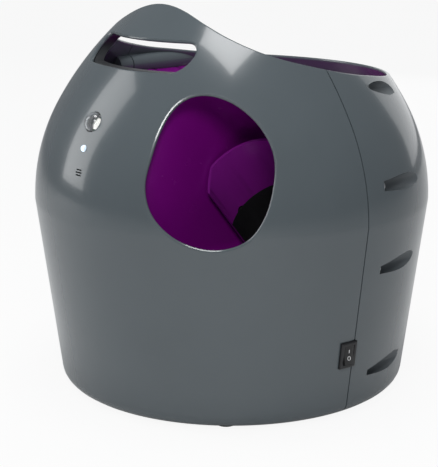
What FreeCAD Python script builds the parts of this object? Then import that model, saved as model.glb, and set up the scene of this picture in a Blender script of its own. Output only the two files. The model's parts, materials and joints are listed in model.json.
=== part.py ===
import FreeCAD, Part
import math
import os

# Automatic dog ball launcher, millimetres. The origin is on the floor under the body's axis.
# The front, where the handle and the sensor are, faces -Y. +Z is up. Balls leave on the +X side.

V = FreeCAD.Vector
X_AXIS = V(1, 0, 0)
Y_AXIS = V(0, 1, 0)
Z_AXIS = V(0, 0, 1)

# Casing: a body of revolution with a straight taper under the waist and two arcs above it
BODY_R = 160.0
WALL = 3.0
BASE_Z = 3.0                # underside of the casing, held off the floor by the feet
WAIST_Z = 153.0             # crease between the taper and the dome
TAPER = 0.131               # radius gained per millimetre of height, under the waist
CORNER_R = 10.0             # rounded bottom corner
SHOULDER_R = 156.6
SHOULDER_TURN = math.radians(29.4)
CROWN_R = 267.0
CROWN_TURN = math.radians(45.85)
CREST_RUN = 60.0            # straight cone above the crown arc
BASE_HOLE_R = 112.0
SEAM_Y = -11.3              # plane between the two halves
SEAM_GROOVE = 0.6
FAR = 400.0

# Side view (y, z) of the edge round the top opening; the handle's crest is the plane HANDLE_BACK_Y
HANDLE_BACK_Y = -71.5
RIM_POINTS = [(200, 245.5), (130, 248.0), (75, 250.7), (35, 256.0), (5, 261.0), (-31, 270.0),
              (-52, 278.0), (-64.7, 287.2), (-70.4, 297.0), (HANDLE_BACK_Y, 306.0)]
CREST_TOP = 345.0

# Handle slot and backing, front view
SLOT_HALF = 55.0
SLOT_Z = (265.0, 285.5)
BACKING_HALF = 76.0
BACKING_Z = 257.0
BACKING_DEPTH = 9.0

# Ball opening in the front half, front view (x, z)
OPENING_POINTS = [(79, 251.5), (95, 246), (111.5, 232.7), (124, 215), (130, 195), (130.3, 171.5),
                  (123, 153), (107, 145.8), (88, 151), (70, 166.8), (61.4, 187), (60.7, 210),
                  (61.2, 236), (67, 248.5)]

# Screw pockets in the rear half: (x, z) of the four on one side, mirrored to the other
POCKET_SPOTS = [(119.5, 247.0), (152.5, 181.0), (150.0, 117.5), (138.5, 33.5)]
POCKET_R = 6.0
POCKET_WALL = 2.5
POCKET_FLOOR_Y = 8.0
SCREW_LENGTH = 30.0
SCREW_R = 1.6
SCREW_HEAD_R = 3.6

# Front panel parts on the middle of the front: heights of their centres
LENS_Z = 228.0
LENS_R = 8.0
LED_Z = 209.0
LED_R = 2.5
GRILLE_Z = 191.5
GRILLE_R = 4.2
PANEL_DEPTH = 15.0          # from the casing's surface to the sensor board

# Power switch, beside the seam
SWITCH_AZIMUTH = 83.3
SWITCH_Z = 54.0
SWITCH_W = 15.0
SWITCH_H = 21.0
SWITCH_BODY_W = 12.6
SWITCH_BODY_H = 18.6
ROCKER_W = 9.0
ROCKER_H = 14.6
ROCKER_THROW = 16.0         # degrees between on and off
ROCKER_PIVOT_DEPTH = -1.6
TRUNNION_R = 1.2
TRUNNION_OUT = 5.7          # half the length over both trunnions

# Distance dial, upper middle of the rear
DIAL_AZIMUTH = 180.0
DIAL_Z = 205.0
DIAL_R = 16.0
DIAL_H = 8.5
DIAL_DISH_R = 20.0
DIAL_SHAFT_R = 3.0

# Power inlet, lower rear
INLET_AZIMUTH = 152.0
INLET_Z = 36.0
INLET_R = 6.0
INLET_BORE_R = 2.8
INLET_PIN_R = 1.0

# Launcher: pivot of the barrel, beside the step where the hood's socket ends
BARREL_X = 95.3
PIVOT = V(BARREL_X, -46.0, 155.0)
LAUNCH_ANGLE = 50.0         # at rest; the barrel tilts down by TILT_RANGE in six steps
TILT_RANGE = 25.0
TILT_STEPS = 6
BORE_R = 35.0
BARREL_R = 37.5
HOOD_LENGTH = 48.5
HOOD_EDGE = 24.0            # the hood's side towards the casing is cut off at this distance from the axis
HOOD_EDGE_START = 8.0
HOOD_SIDE = -14.5           # the hood and its socket stop this far below the axis
HOOD_CORNER = (16.5, 11.0)  # cut-off corner at the hood's front
HOOD_BACK = -28.0
HOOD_STEP = 2.0             # the barrel's front end, inside the hood's socket
SPIGOT_R = 36.2
PAD_R = 8.0
PAD_OUT = 0.7               # pivot pads stand out this far beyond the hood
BARREL_BACK = -121.0
BALL_SEAT = -45.0           # centre of the resting ball, along the barrel
SENSOR_SPOT = (-10.0, -55.0)    # centre of the two ball sensors, across and along the barrel
INLET_HOLE_R = 34.0
PIN_R = 4.0
RUNNING = 0.05              # radial clearance of a shaft in its bush

# Plunger, spring and tail, along the barrel
HEAD_BACK = -86.0
HEAD_THICK = 7.0
HEAD_R = 34.4
STROKE = 32.0
TAIL_R = 19.5
TAIL_BACK = -146.0
SPRING_R = 14.0
WIRE_R = 1.1
SPRING_TURNS = 7
SPRING_GAP = 0.1

# Gear train, beside the barrel: module, teeth and places (x across, z along the barrel)
RACK_MODULE = 1.5
SECTOR_TEETH = 20
SPUR_MODULE = 1.0
SPUR_TEETH = 44
PINION_TEETH = 12
PITCH_LINE_X = -52.0
GEAR_Z = -115.0
GEAR_HALF = 3.5
SPUR_Y = (4.5, 9.5)
PLATE_Y = ((-9.0, -6.5), (12.0, 14.5))
POST_SPOTS = [(-110, -140), (-110, -90), (-86, -140), (-86, -90)]
BACKLASH = 0.12             # share of the tooth pitch left free on each flank
SECTOR_R = RACK_MODULE * SECTOR_TEETH / 2
SECTOR_X = PITCH_LINE_X - SECTOR_R
PINION_X = SECTOR_X - SPUR_MODULE * (SPUR_TEETH + PINION_TEETH) / 2
SHAFT_R = 3.0
MOTOR_R = 14.0
MOTOR_LENGTH = 38.0

# Angle setting beside the launch bay: plate with notches, and the arm whose tip rides over them
INDEX_X = 48.0
INDEX_R = 24.0
INDEX_THICK = 1.5
INDEX_LEAD = 40.0           # the arm leads the barrel by this angle, in degrees
NOTCH_R = 0.9
ARM_X = 45.5
ARM_LENGTH = 27.0
ARM_HALF = 2.5

# Launch bay: a moulded pocket behind the opening, which also carries the pivot
BAY_X = (56.0, 136.0)
BAY_WALL = 2.5
BAY_FLOOR_Z = 118.0
BAY_TOP = (-78.0, 257.5)
BAY_BACK_Y = -28.0
BAY_BACK_TOP = 214.0
BAY_BACK_BOTTOM = 193.5
BAY_FLOOR_BACK_Y = -68.0
BUSH_R = PIN_R + 2.0
BUSH_BOSS = 4.0             # the bosses round the bushes stand out this far from the bay's sides
PIN_INNER = 36.8            # distance of the pivot pins' inner ends from the barrel's axis

# Hopper bowl: a funnel from the casing's wall to the drain over the barrel's inlet
BOWL_WALL = 2.5
BOWL_TOP_R = 138.0
BOWL_TOP_Z = 250.0
BOWL_SLOPE = 0.085          # the bowl's edge falls towards the back
DRAIN = (BARREL_X, 11.0)
DRAIN_R = 36.0
DRAIN_Z = 192.0

# Battery box for six C cells standing in two rows, behind a hinged door in the rear half
BATTERY_AZIMUTH = 194.0
BATTERY_HALF = 43.0
BATTERY_OUT = 80.0          # distance of its inner end from the body's axis
BATTERY_Z = (12.0, 70.0)
BATTERY_WALL = 2.0
DOOR_HALF = 40.0
DOOR_Z = (17.0, 66.0)
DOOR_GAP = 0.4
HINGE_OUT = 143.2
HINGE_Z = 15.0
KNUCKLE_SPAN = (22.0, 30.0)
LUG_SPAN = (30.4, 38.0)
KNUCKLE_R = 2.4
HINGE_PIN_R = 1.2
CELL_R = 13.5

# Control board, upright behind the front wall
BOARD_Y = (-110.0, -108.4)
BOARD_X = (-50.0, 20.0)
BOARD_Z = (22.0, 92.0)

FOOT_SPOTS = 4
FOOT_RING_R = 121.0
BASE_SCREWS = 6


# ---------------------------------------------------------------- helpers

def box(x, y, z):
    """Box between three (low, high) pairs."""
    return Part.makeBox(x[1] - x[0], y[1] - y[0], z[1] - z[0], V(x[0], y[0], z[0]))


def tube(outer, inner, start, direction, length):
    """Round tube from a point along a direction."""
    return Part.makeCylinder(outer, length, start, direction).cut(
        Part.makeCylinder(inner, length, start, direction))


def polygon_prism(points, sweep):
    """Solid from a closed polygon swept by a vector."""
    corners = [V(*point) for point in points]
    return Part.Face(Part.makePolygon(corners + corners[:1])).extrude(sweep)


def join(shapes):
    """Union of a list of solids as one clean solid."""
    return shapes[0].multiFuse(shapes[1:]).removeSplitter()


def moved(shape, spot, turn):
    """Copy of a shape, turned about the origin and then moved to a spot."""
    placed = shape.copy()
    placed.Placement = FreeCAD.Placement(spot, turn).multiply(shape.Placement)
    return placed


def body_solid(inset):
    """The casing's solid of revolution, with its surface moved inwards by inset."""
    lean = math.atan(TAPER)
    corner_z = BASE_Z + CORNER_R
    corner_r = BODY_R - TAPER * (WAIST_Z - corner_z) - CORNER_R / math.cos(lean)
    small = CORNER_R - inset
    shoulder = V(BODY_R - SHOULDER_R, 0, WAIST_Z)
    turn = V(math.cos(SHOULDER_TURN), 0, math.sin(SHOULDER_TURN))
    crown = shoulder + turn * (SHOULDER_R - CROWN_R)

    def around(centre, radius, angle):
        return centre + V(math.cos(angle), 0, math.sin(angle)) * radius

    centre = V(corner_r, 0, corner_z)
    mid_corner = -(math.pi / 2 + lean) / 2
    shoulder_arc = [around(shoulder, SHOULDER_R - inset, SHOULDER_TURN * k / 2) for k in range(3)]
    crown_arc = [around(crown, CROWN_R - inset, a)
                 for a in (SHOULDER_TURN, (SHOULDER_TURN + CROWN_TURN) / 2, CROWN_TURN)]
    crest = crown_arc[2] + V(-math.sin(CROWN_TURN), 0, math.cos(CROWN_TURN)) * CREST_RUN
    floor = V(0, 0, BASE_Z + inset)
    edges = [Part.LineSegment(floor, V(corner_r, 0, BASE_Z + inset)).toShape()]
    if small > 0:
        end = around(centre, small, -lean)
        start = V(corner_r, 0, BASE_Z + inset)
        edges.append(Part.Arc(start, around(centre, small, mid_corner), end).toShape())
    else:
        end = V(corner_r, 0, BASE_Z + inset)
    edges.append(Part.LineSegment(end, shoulder_arc[0]).toShape())
    edges.append(Part.Arc(*shoulder_arc).toShape())
    edges.append(Part.Arc(*crown_arc).toShape())
    edges.append(Part.LineSegment(crown_arc[2], crest).toShape())
    edges.append(Part.LineSegment(crest, V(0, 0, crest.z)).toShape())
    edges.append(Part.LineSegment(V(0, 0, crest.z), floor).toShape())
    return Part.Face(Part.Wire(edges)).revolve(V(0, 0, 0), Z_AXIS, 360)


def surface_at(z):
    """Radius of the casing's surface at a height, and how far its normal leans up, in radians."""
    shoulder_top = WAIST_Z + SHOULDER_R * math.sin(SHOULDER_TURN)
    if z <= WAIST_Z:
        return BODY_R - TAPER * (WAIST_Z - z), -math.atan(TAPER)
    if z <= shoulder_top:
        lean = math.asin((z - WAIST_Z) / SHOULDER_R)
        return BODY_R - SHOULDER_R + SHOULDER_R * math.cos(lean), lean
    crown_r = BODY_R - SHOULDER_R + (SHOULDER_R - CROWN_R) * math.cos(SHOULDER_TURN)
    crown_z = WAIST_Z + (SHOULDER_R - CROWN_R) * math.sin(SHOULDER_TURN)
    lean = math.asin((z - crown_z) / CROWN_R)
    return crown_r + CROWN_R * math.cos(lean), lean


def on_casing(shape, azimuth, z, depth=0.0):
    """Place a shape on the casing: its +Z points out of the surface and its +Y up the surface."""
    radius, lean = surface_at(z)
    angle = math.radians(azimuth)
    across = V(math.cos(angle), math.sin(angle), 0)
    out = V(math.sin(angle) * math.cos(lean), -math.cos(angle) * math.cos(lean), math.sin(lean))
    up = out.cross(across)
    spot = V(math.sin(angle) * radius, -math.cos(angle) * radius, z) + out * depth
    return moved(shape, spot, FreeCAD.Rotation(across, up, out, "ZXY"))


def on_launcher(shape):
    """Place a shape made along +Z from the pivot into the launcher at its rest angle."""
    return moved(shape, PIVOT, FreeCAD.Rotation(X_AXIS, 90.0 - LAUNCH_ANGLE))


def in_battery_bay(shape):
    """Place a shape made with +Y outwards and +X along the door into the battery bay."""
    return moved(shape, V(0, 0, 0), FreeCAD.Rotation(Z_AXIS, BATTERY_AZIMUTH - 180.0))


def gear(module, teeth, thickness, toothed):
    """Spur gear round +Z with straight-flanked teeth at the tooth numbers in toothed."""
    pitch_r = module * teeth / 2
    root_r = pitch_r - 1.25 * module
    tip_r = pitch_r + 0.9 * module
    step = 2 * math.pi / teeth
    half_pitch = step * (0.25 - BACKLASH / 2)
    half_root = half_pitch + 0.36 * module / pitch_r
    half_tip = half_pitch - 0.36 * module / pitch_r
    body = Part.makeCylinder(root_r, thickness)
    pieces = [body]
    for number in toothed:
        middle = number * step
        corners = []
        for radius, angle in ((root_r - 0.3, -half_root), (tip_r, -half_tip), (tip_r, half_tip),
                              (root_r - 0.3, half_root)):
            corners.append((radius * math.cos(middle + angle), radius * math.sin(middle + angle), 0))
        pieces.append(polygon_prism(corners, V(0, 0, thickness)))
    return join(pieces)


def flat_gear(shape, x, z, y):
    """Turn a gear made round +Z so that its axis lies along the launcher's +Y, and move it into place."""
    return moved(shape, V(x, y, z), FreeCAD.Rotation(X_AXIS, -90.0))


def screw(length):
    """Pan-head screw: shank along -Z from the underside of its head at the origin."""
    head = Part.makeCylinder(SCREW_HEAD_R, 2.2)
    cross = box((-2.4, 2.4), (-0.5, 0.5), (1.0, 3.0)).fuse(box((-0.5, 0.5), (-2.4, 2.4), (1.0, 3.0)))
    shank = Part.makeCylinder(SCREW_R, length, V(0, 0, -length))
    return head.cut(cross).fuse(shank).removeSplitter()


def turned(shape, spot, direction):
    """Move a shape made along +Z to a spot, with its +Z along a direction."""
    return moved(shape, spot, FreeCAD.Rotation(Z_AXIS, direction))


# ---------------------------------------------------------------- cutting tools

def above_rim():
    """Everything above the slanted edge of the top opening and behind the handle's crest."""
    curve = Part.BSplineCurve()
    curve.interpolate([V(-FAR / 2, y, z) for y, z in RIM_POINTS])
    start = V(-FAR / 2, *RIM_POINTS[0])
    end = V(-FAR / 2, *RIM_POINTS[-1])
    over_end = V(-FAR / 2, HANDLE_BACK_Y, CREST_TOP)
    over_start = V(-FAR / 2, start.y, CREST_TOP)
    outline = [curve.toShape(), Part.LineSegment(end, over_end).toShape(),
               Part.LineSegment(over_end, over_start).toShape(),
               Part.LineSegment(over_start, start).toShape()]
    return Part.Face(Part.Wire(outline)).extrude(V(FAR, 0, 0))


def handle_slot():
    """The grip slot, along Y through the handle."""
    radius = (SLOT_Z[1] - SLOT_Z[0]) / 2
    middle = (SLOT_Z[0] + SLOT_Z[1]) / 2
    straight = SLOT_HALF - radius
    pieces = [box((-straight, straight), (-150, -40), SLOT_Z)]
    for side in (-1, 1):
        pieces.append(Part.makeCylinder(radius, 110, V(side * straight, -150, middle), Y_AXIS))
    return join(pieces)


def ball_opening():
    """The rounded opening for the ball, along Y through the front half."""
    curve = Part.BSplineCurve()
    curve.interpolate([V(x, -FAR / 2, z) for x, z in OPENING_POINTS], PeriodicFlag=True)
    return Part.Face(Part.Wire([curve.toShape()])).extrude(V(0, FAR / 2 - 40, 0))


def pocket_spots():
    """Both sides' screw pockets as (x, z)."""
    return [(side * x, z) for side in (1, -1) for x, z in POCKET_SPOTS]


def door_region(gap):
    """Region of the wall that the battery door fills, shrunk by a gap."""
    return in_battery_bay(box((-DOOR_HALF + gap, DOOR_HALF - gap), (100, 170),
                              (DOOR_Z[0] + gap, DOOR_Z[1] - gap)))


# ---------------------------------------------------------------- casing

def casing_shell():
    """The whole hollow casing with its top and bottom openings, before it is split at the seam."""
    shell = body_solid(0).cut(body_solid(WALL))
    shell = shell.cut(Part.makeCylinder(BASE_HOLE_R, 20, V(0, 0, 0)))
    groove = body_solid(0).cut(body_solid(SEAM_GROOVE)).common(
        box((-FAR, FAR), (SEAM_Y - SEAM_GROOVE, SEAM_Y + SEAM_GROOVE), (0, FAR)))
    for spot in ring_spots(BASE_SCREWS, 30.0):
        shell = shell.cut(Part.makeCylinder(SCREW_R + 0.2, 2 * WALL, spot, Z_AXIS))
    return shell.cut(groove).cut(above_rim())


def screw_bosses(y_range, bore):
    """Bosses round the screw axes, trimmed to the casing's inside."""
    length = y_range[1] - y_range[0]
    rods = [Part.makeCylinder(POCKET_R + POCKET_WALL, length, V(x, y_range[0], z), Y_AXIS)
            for x, z in pocket_spots()]
    inside = body_solid(WALL / 2).cut(above_rim())
    bosses = [rod.common(inside) for rod in rods]
    holes = [Part.makeCylinder(bore, POCKET_FLOOR_Y + SCREW_LENGTH + 1, V(x, POCKET_FLOOR_Y + 1, z), -Y_AXIS)
             for x, z in pocket_spots()]
    return bosses, holes


def front_shell(shell):
    """Front half with the handle, the ball opening and the holes for the panel parts."""
    half = shell.common(box((-FAR, FAR), (-FAR, SEAM_Y), (-FAR, FAR)))
    bosses, holes = screw_bosses((POCKET_FLOOR_Y - SCREW_LENGTH - 3, SEAM_Y), SCREW_R)
    half = join([half] + bosses)
    for hole in holes:
        half = half.cut(hole)
    half = half.cut(handle_slot()).cut(ball_opening())
    half = half.cut(on_casing(Part.makeCylinder(LENS_R + 0.2, 20, V(0, 0, -10)), 0, LENS_Z))
    half = half.cut(on_casing(Part.makeCylinder(LED_R + 0.1, 20, V(0, 0, -10)), 0, LED_Z))
    for step in (-2, 0, 2):
        reach = math.sqrt(GRILLE_R ** 2 - step ** 2) - 0.6
        half = half.cut(on_casing(box((-reach, reach), (step - 0.5, step + 0.5), (-10, 10)), 0, GRILLE_Z))
    half = half.cut(on_casing(box((-SWITCH_BODY_W / 2 - 0.1, SWITCH_BODY_W / 2 + 0.1),
                                  (-SWITCH_BODY_H / 2 - 0.1, SWITCH_BODY_H / 2 + 0.1), (-10, 10)),
                              SWITCH_AZIMUTH, SWITCH_Z))
    return half


def rear_shell(shell):
    """Rear half with its screw pockets, battery opening, dial dish and power inlet hole."""
    half = shell.common(box((-FAR, FAR), (SEAM_Y, FAR), (-FAR, FAR)))
    bosses, holes = screw_bosses((SEAM_Y, FAR / 2), SCREW_R + 0.3)
    half = join([half] + bosses)
    for hole in holes:
        half = half.cut(hole)
    for x, z in pocket_spots():
        half = half.cut(Part.makeCylinder(POCKET_R, FAR, V(x, POCKET_FLOOR_Y, z), Y_AXIS))
    half = half.cut(on_casing(box((-SWITCH_W / 2 - 0.1, SWITCH_W / 2 + 0.1),
                                  (-SWITCH_H / 2 - 0.1, SWITCH_H / 2 + 0.1), (-10, 10)),
                              SWITCH_AZIMUTH, SWITCH_Z).common(box((0, FAR), (SEAM_Y - 1, 0), (0, 200))))
    half = half.cut(door_region(0))
    half = half.cut(on_casing(Part.makeCylinder(DIAL_SHAFT_R + 0.5, 20, V(0, 0, -10)), DIAL_AZIMUTH, DIAL_Z))
    half = half.cut(on_casing(Part.makeCylinder(INLET_R + 0.05, 20, V(0, 0, -10)), INLET_AZIMUTH, INLET_Z))
    lugs = []
    for side in (-1, 1):
        span = sorted((side * LUG_SPAN[0], side * LUG_SPAN[1]))
        knuckle = Part.makeCylinder(KNUCKLE_R, span[1] - span[0], V(span[0], HINGE_OUT, HINGE_Z), X_AXIS)
        web = box(span, (133.0, HINGE_OUT), (HINGE_Z - KNUCKLE_R, HINGE_Z - 0.4))
        pin_hole = Part.makeCylinder(HINGE_PIN_R, 100, V(-50, HINGE_OUT, HINGE_Z), X_AXIS)
        lugs.append(in_battery_bay(knuckle.fuse(web).cut(pin_hole)).cut(body_solid(WALL / 2)))
    return join([half] + lugs)


def handle_layer(gap):
    """Layer inside the casing that the handle's inner half fills, grown by a gap."""
    layer = body_solid(WALL - gap).cut(body_solid(BACKING_DEPTH + gap))
    return layer.common(box((-BACKING_HALF - gap, BACKING_HALF + gap), (-FAR, HANDLE_BACK_Y + 25 + gap),
                            (BACKING_Z - gap, CREST_TOP)))


def handle_backing():
    """Inner half of the handle, which makes the grip thick and rounds off the slot."""
    return handle_layer(0).cut(above_rim()).cut(handle_slot())


def base_plate():
    """Round floor of the casing, screwed down on the halves' bottom ring."""
    plate = Part.makeCylinder(129.0, 3.5, V(0, 0, BASE_Z + WALL))
    rib = tube(92, 90, V(0, 0, BASE_Z + WALL + 3.5), Z_AXIS, 2.3)
    plate = join([plate, rib])
    for spot in ring_spots(BASE_SCREWS, 30.0):
        plate = plate.cut(Part.makeCylinder(SCREW_R, 20, spot, Z_AXIS))
    return plate


def ring_spots(count, start_angle):
    """Evenly spaced places on the bottom ring, at floor level."""
    spots = []
    for number in range(count):
        angle = math.radians(start_angle + 360.0 * number / count)
        spots.append(V(FOOT_RING_R * math.cos(angle), FOOT_RING_R * math.sin(angle), 0))
    return spots


def rubber_feet():
    """Four round feet stuck under the bottom ring."""
    feet = []
    for spot in ring_spots(FOOT_SPOTS, 45.0):
        feet.append(Part.makeCone(7.5, 8.5, BASE_Z, spot, Z_AXIS))
    return Part.makeCompound(feet)


def base_screws():
    """Screws from below through the bottom ring into the base plate."""
    screws = []
    for spot in ring_spots(BASE_SCREWS, 30.0):
        screws.append(turned(screw(7.0), spot + V(0, 0, BASE_Z), V(0, 0, -1)))
    return Part.makeCompound(screws)


def shell_screws():
    """Screws in the pockets, which pull the two halves together."""
    return Part.makeCompound([turned(screw(SCREW_LENGTH), V(x, POCKET_FLOOR_Y, z), Y_AXIS)
                              for x, z in pocket_spots()])


# ---------------------------------------------------------------- ball path

def funnel(grow):
    """Solid funnel from the bowl's edge to the drain, grown outwards by a thickness."""
    tilt = math.atan(BOWL_SLOPE)
    top = Part.makeCircle(BOWL_TOP_R + grow, V(0, 0, BOWL_TOP_Z), V(0, math.sin(tilt), math.cos(tilt)))
    drain = Part.makeCircle(DRAIN_R + grow, V(DRAIN[0], DRAIN[1], DRAIN_Z), Z_AXIS)
    return Part.makeLoft([Part.Wire([top]), Part.Wire([drain])], True, True)


def bay_profile(grow):
    """Side view of the launch bay as (y, z), grown outwards by a wall thickness."""
    return [(-150, BAY_FLOOR_Z - grow), (-150, BAY_TOP[1] + grow), (BAY_TOP[0], BAY_TOP[1] + grow),
            (BAY_BACK_Y + grow, BAY_BACK_TOP + grow), (BAY_BACK_Y + grow, BAY_FLOOR_Z - grow)]


def bay_block(grow):
    """Solid block of the launch bay, grown outwards by a wall thickness."""
    points = [(BAY_X[0] - grow, y, z) for y, z in bay_profile(grow)]
    return polygon_prism(points, V(BAY_X[1] - BAY_X[0] + 2 * grow, 0, 0))


def hopper_bowl():
    """Funnel that catches the ball and rolls it to the drain, open where the launch bay stands up in it."""
    bowl = funnel(BOWL_WALL).cut(funnel(0))
    spout_top = DRAIN_Z + 4.0
    spout = tube(DRAIN_R + BOWL_WALL, DRAIN_R, V(DRAIN[0], DRAIN[1], DRAIN_Z), Z_AXIS, spout_top - DRAIN_Z)
    bowl = bowl.fuse(spout)
    bowl = bowl.cut(funnel(-0.01)).removeSplitter()
    bowl = bowl.common(body_solid(WALL).cut(above_rim()))
    for x, z in pocket_spots():
        bowl = bowl.cut(Part.makeCylinder(POCKET_R + POCKET_WALL, FAR, V(x, -FAR / 2, z), Y_AXIS))
    return bowl.cut(bay_block(BAY_WALL + 0.2)).cut(handle_layer(0.2))


def launch_bay():
    """Moulded pocket behind the opening: its side walls carry the barrel's pivot."""
    bay = bay_block(BAY_WALL).cut(bay_block(0))
    bay = bay.common(body_solid(WALL + 0.1).cut(above_rim())).cut(handle_layer(0.2))
    below_back = box((BAY_X[0], BAY_X[1]), (BAY_BACK_Y - 1, 0), (0, BAY_BACK_BOTTOM))
    behind_floor = box((BAY_X[0], BAY_X[1]), (BAY_FLOOR_BACK_Y, 0), (0, BAY_FLOOR_Z + 1))
    bay = bay.cut(below_back).cut(behind_floor)
    bosses = []
    for low in (BAY_X[0] - BAY_WALL - BUSH_BOSS, BAY_X[1] + BAY_WALL):
        bosses.append(Part.makeCylinder(BUSH_R + 3.0, BUSH_BOSS, V(low, PIVOT.y, PIVOT.z), X_AXIS))
    bay = join([bay] + bosses)
    return bay.cut(Part.makeCylinder(BUSH_R, FAR, V(0, PIVOT.y, PIVOT.z), X_AXIS))


def pivot_bushes():
    """Two bushes in the bay's bosses."""
    length = BAY_WALL + BUSH_BOSS
    return Part.makeCompound([tube(BUSH_R, PIN_R + RUNNING, V(low, PIVOT.y, PIVOT.z), X_AXIS, length)
                              for low in (BAY_X[0] - length, BAY_X[1])])


def pivot_pins():
    """Two pins pressed into the sides of the hood's socket."""
    spans = [(ARM_X - 0.5, BARREL_X - PIN_INNER), (BARREL_X + PIN_INNER, BAY_X[1] + BAY_WALL + BUSH_BOSS)]
    return Part.makeCompound([Part.makeCylinder(PIN_R, high - low, V(low, PIVOT.y, PIVOT.z), X_AXIS)
                              for low, high in spans])


def index_plate():
    """Plate fixed on the bay's left boss, with a notch for each launch angle on its edge."""
    plate = Part.makeCylinder(INDEX_R, INDEX_THICK, V(INDEX_X, PIVOT.y, PIVOT.z), X_AXIS)
    plate = plate.cut(Part.makeCylinder(BUSH_R, FAR, V(0, PIVOT.y, PIVOT.z), X_AXIS))
    for step in range(TILT_STEPS):
        angle = math.radians(LAUNCH_ANGLE + INDEX_LEAD - step * TILT_RANGE / (TILT_STEPS - 1))
        spot = V(0, PIVOT.y - INDEX_R * math.cos(angle), PIVOT.z + INDEX_R * math.sin(angle))
        plate = plate.cut(Part.makeCylinder(NOTCH_R, FAR, spot, X_AXIS))
    return plate


def index_arm():
    """Springy arm on the end of the left pin, whose tip rides over the index plate's notches."""
    angle = math.radians(LAUNCH_ANGLE + INDEX_LEAD)
    out = V(0, -math.cos(angle), math.sin(angle)) * ARM_LENGTH
    across = V(0, math.sin(angle), math.cos(angle)) * ARM_HALF
    root = V(ARM_X, PIVOT.y, PIVOT.z)
    hub = Part.makeCylinder(PIN_R + 2.5, INDEX_THICK, root, X_AXIS)
    corners = [root + across, root + across + out, root - across + out, root - across]
    arm = polygon_prism([tuple(corner) for corner in corners], V(INDEX_THICK, 0, 0))
    return join([hub, arm]).cut(Part.makeCylinder(PIN_R, FAR, V(0, PIVOT.y, PIVOT.z), X_AXIS))


# ---------------------------------------------------------------- launcher, made along +Z from the pivot

def ball_inlet():
    """Hole on the barrel's upper side that the ball falls through."""
    return Part.makeCylinder(INLET_HOLE_R, BARREL_R + 5, V(0, 0, BALL_SEAT), Y_AXIS)


def above_hood_side(low, high):
    """Region over the lower edge of the hood's sides, between two places along the barrel."""
    return box((-FAR, FAR), (HOOD_SIDE, FAR), (low, high))


def launch_barrel():
    """Ball tube with its inlet hole, the rack slot, a back wall and a thinner front end for the hood."""
    wall = tube(BARREL_R, BORE_R, V(0, 0, BARREL_BACK), Z_AXIS, HOOD_BACK - BARREL_BACK)
    spigot = tube(SPIGOT_R, BORE_R, V(0, 0, HOOD_BACK), Z_AXIS, HOOD_STEP - HOOD_BACK)
    spigot = spigot.common(above_hood_side(HOOD_BACK, HOOD_STEP))
    back = tube(BARREL_R, TAIL_R - 2.5, V(0, 0, BARREL_BACK), Z_AXIS, 2.5)
    barrel = join([wall, spigot, back])
    slot = box((-BARREL_R - 2, -BORE_R + 6), (-4.2, 4.2), (BARREL_BACK + 2.5, HEAD_BACK + HEAD_THICK + 2))
    barrel = barrel.cut(ball_inlet()).cut(slot)
    for side in (-1, 1):
        barrel = barrel.cut(Part.makeCylinder(2.6, 12, V(side * 30, *SENSOR_SPOT), V(side, 0, 0)))
    return on_launcher(barrel)


def muzzle_hood():
    """Hood that guides the ball out, with a socket over the barrel's front end and a pad for each pin."""
    roof = tube(BARREL_R, BORE_R, V(0, 0, HOOD_STEP), Z_AXIS, HOOD_LENGTH - HOOD_STEP)
    roof = roof.cut(box((HOOD_EDGE, FAR), (-FAR, FAR), (HOOD_EDGE_START, HOOD_LENGTH)))
    socket = tube(BARREL_R, SPIGOT_R, V(0, 0, HOOD_BACK), Z_AXIS, HOOD_STEP - HOOD_BACK)
    reach = 2 * (BARREL_R + PAD_OUT)
    pads = Part.makeCylinder(PAD_R, reach, V(-reach / 2, 0, 0), X_AXIS).cut(
        Part.makeCylinder(SPIGOT_R, 4 * PAD_R, V(0, 0, -2 * PAD_R)))
    hood = join([roof, socket, pads]).common(above_hood_side(HOOD_BACK, HOOD_LENGTH))
    corner = polygon_prism([(-FAR, HOOD_SIDE + 1.1 * HOOD_CORNER[0], HOOD_LENGTH + 0.1 * HOOD_CORNER[1]),
                            (-FAR, HOOD_SIDE - 0.1 * HOOD_CORNER[0], HOOD_LENGTH - 1.1 * HOOD_CORNER[1]),
                            (-FAR, HOOD_SIDE - 0.1 * HOOD_CORNER[0], HOOD_LENGTH + 0.1 * HOOD_CORNER[1])],
                           V(FAR, 0, 0))
    pin_holes = Part.makeCylinder(PIN_R, reach + 2, V(-reach / 2 - 1, 0, 0), X_AXIS).cut(
        Part.makeCylinder(SPIGOT_R, 4 * PIN_R, V(0, 0, -2 * PIN_R)))
    return on_launcher(hood.cut(ball_inlet()).cut(corner).cut(pin_holes))


def ball_sensors():
    """Infra-red emitter and receiver on the two sides of the ball's seat."""
    pair = []
    y, z = SENSOR_SPOT
    for side in (-1, 1):
        eye = Part.makeCylinder(2.5, 5.0, V(side * 33.9, y, z), V(side, 0, 0))
        width = sorted((side * 37.9, side * 41.0))
        pair.append(join([eye, box(width, (y - 6, y + 6), (z - 6, z + 6))]))
    return on_launcher(Part.makeCompound(pair))


def tail_tube():
    """Tube behind the barrel that holds the spring."""
    flange = tube(26.0, TAIL_R - 2.5, V(0, 0, BARREL_BACK - 2.5), Z_AXIS, 2.5)
    body = tube(TAIL_R, TAIL_R - 2.5, V(0, 0, TAIL_BACK), Z_AXIS, BARREL_BACK - TAIL_BACK)
    return on_launcher(join([flange, body]))


def tail_cap():
    """Cap that closes the spring's tube."""
    disc = Part.makeCylinder(TAIL_R, 2.5, V(0, 0, TAIL_BACK - 2.5))
    post = Part.makeCylinder(SPRING_R - WIRE_R - 2, 8.0, V(0, 0, TAIL_BACK))
    return on_launcher(join([disc, post]))


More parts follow.
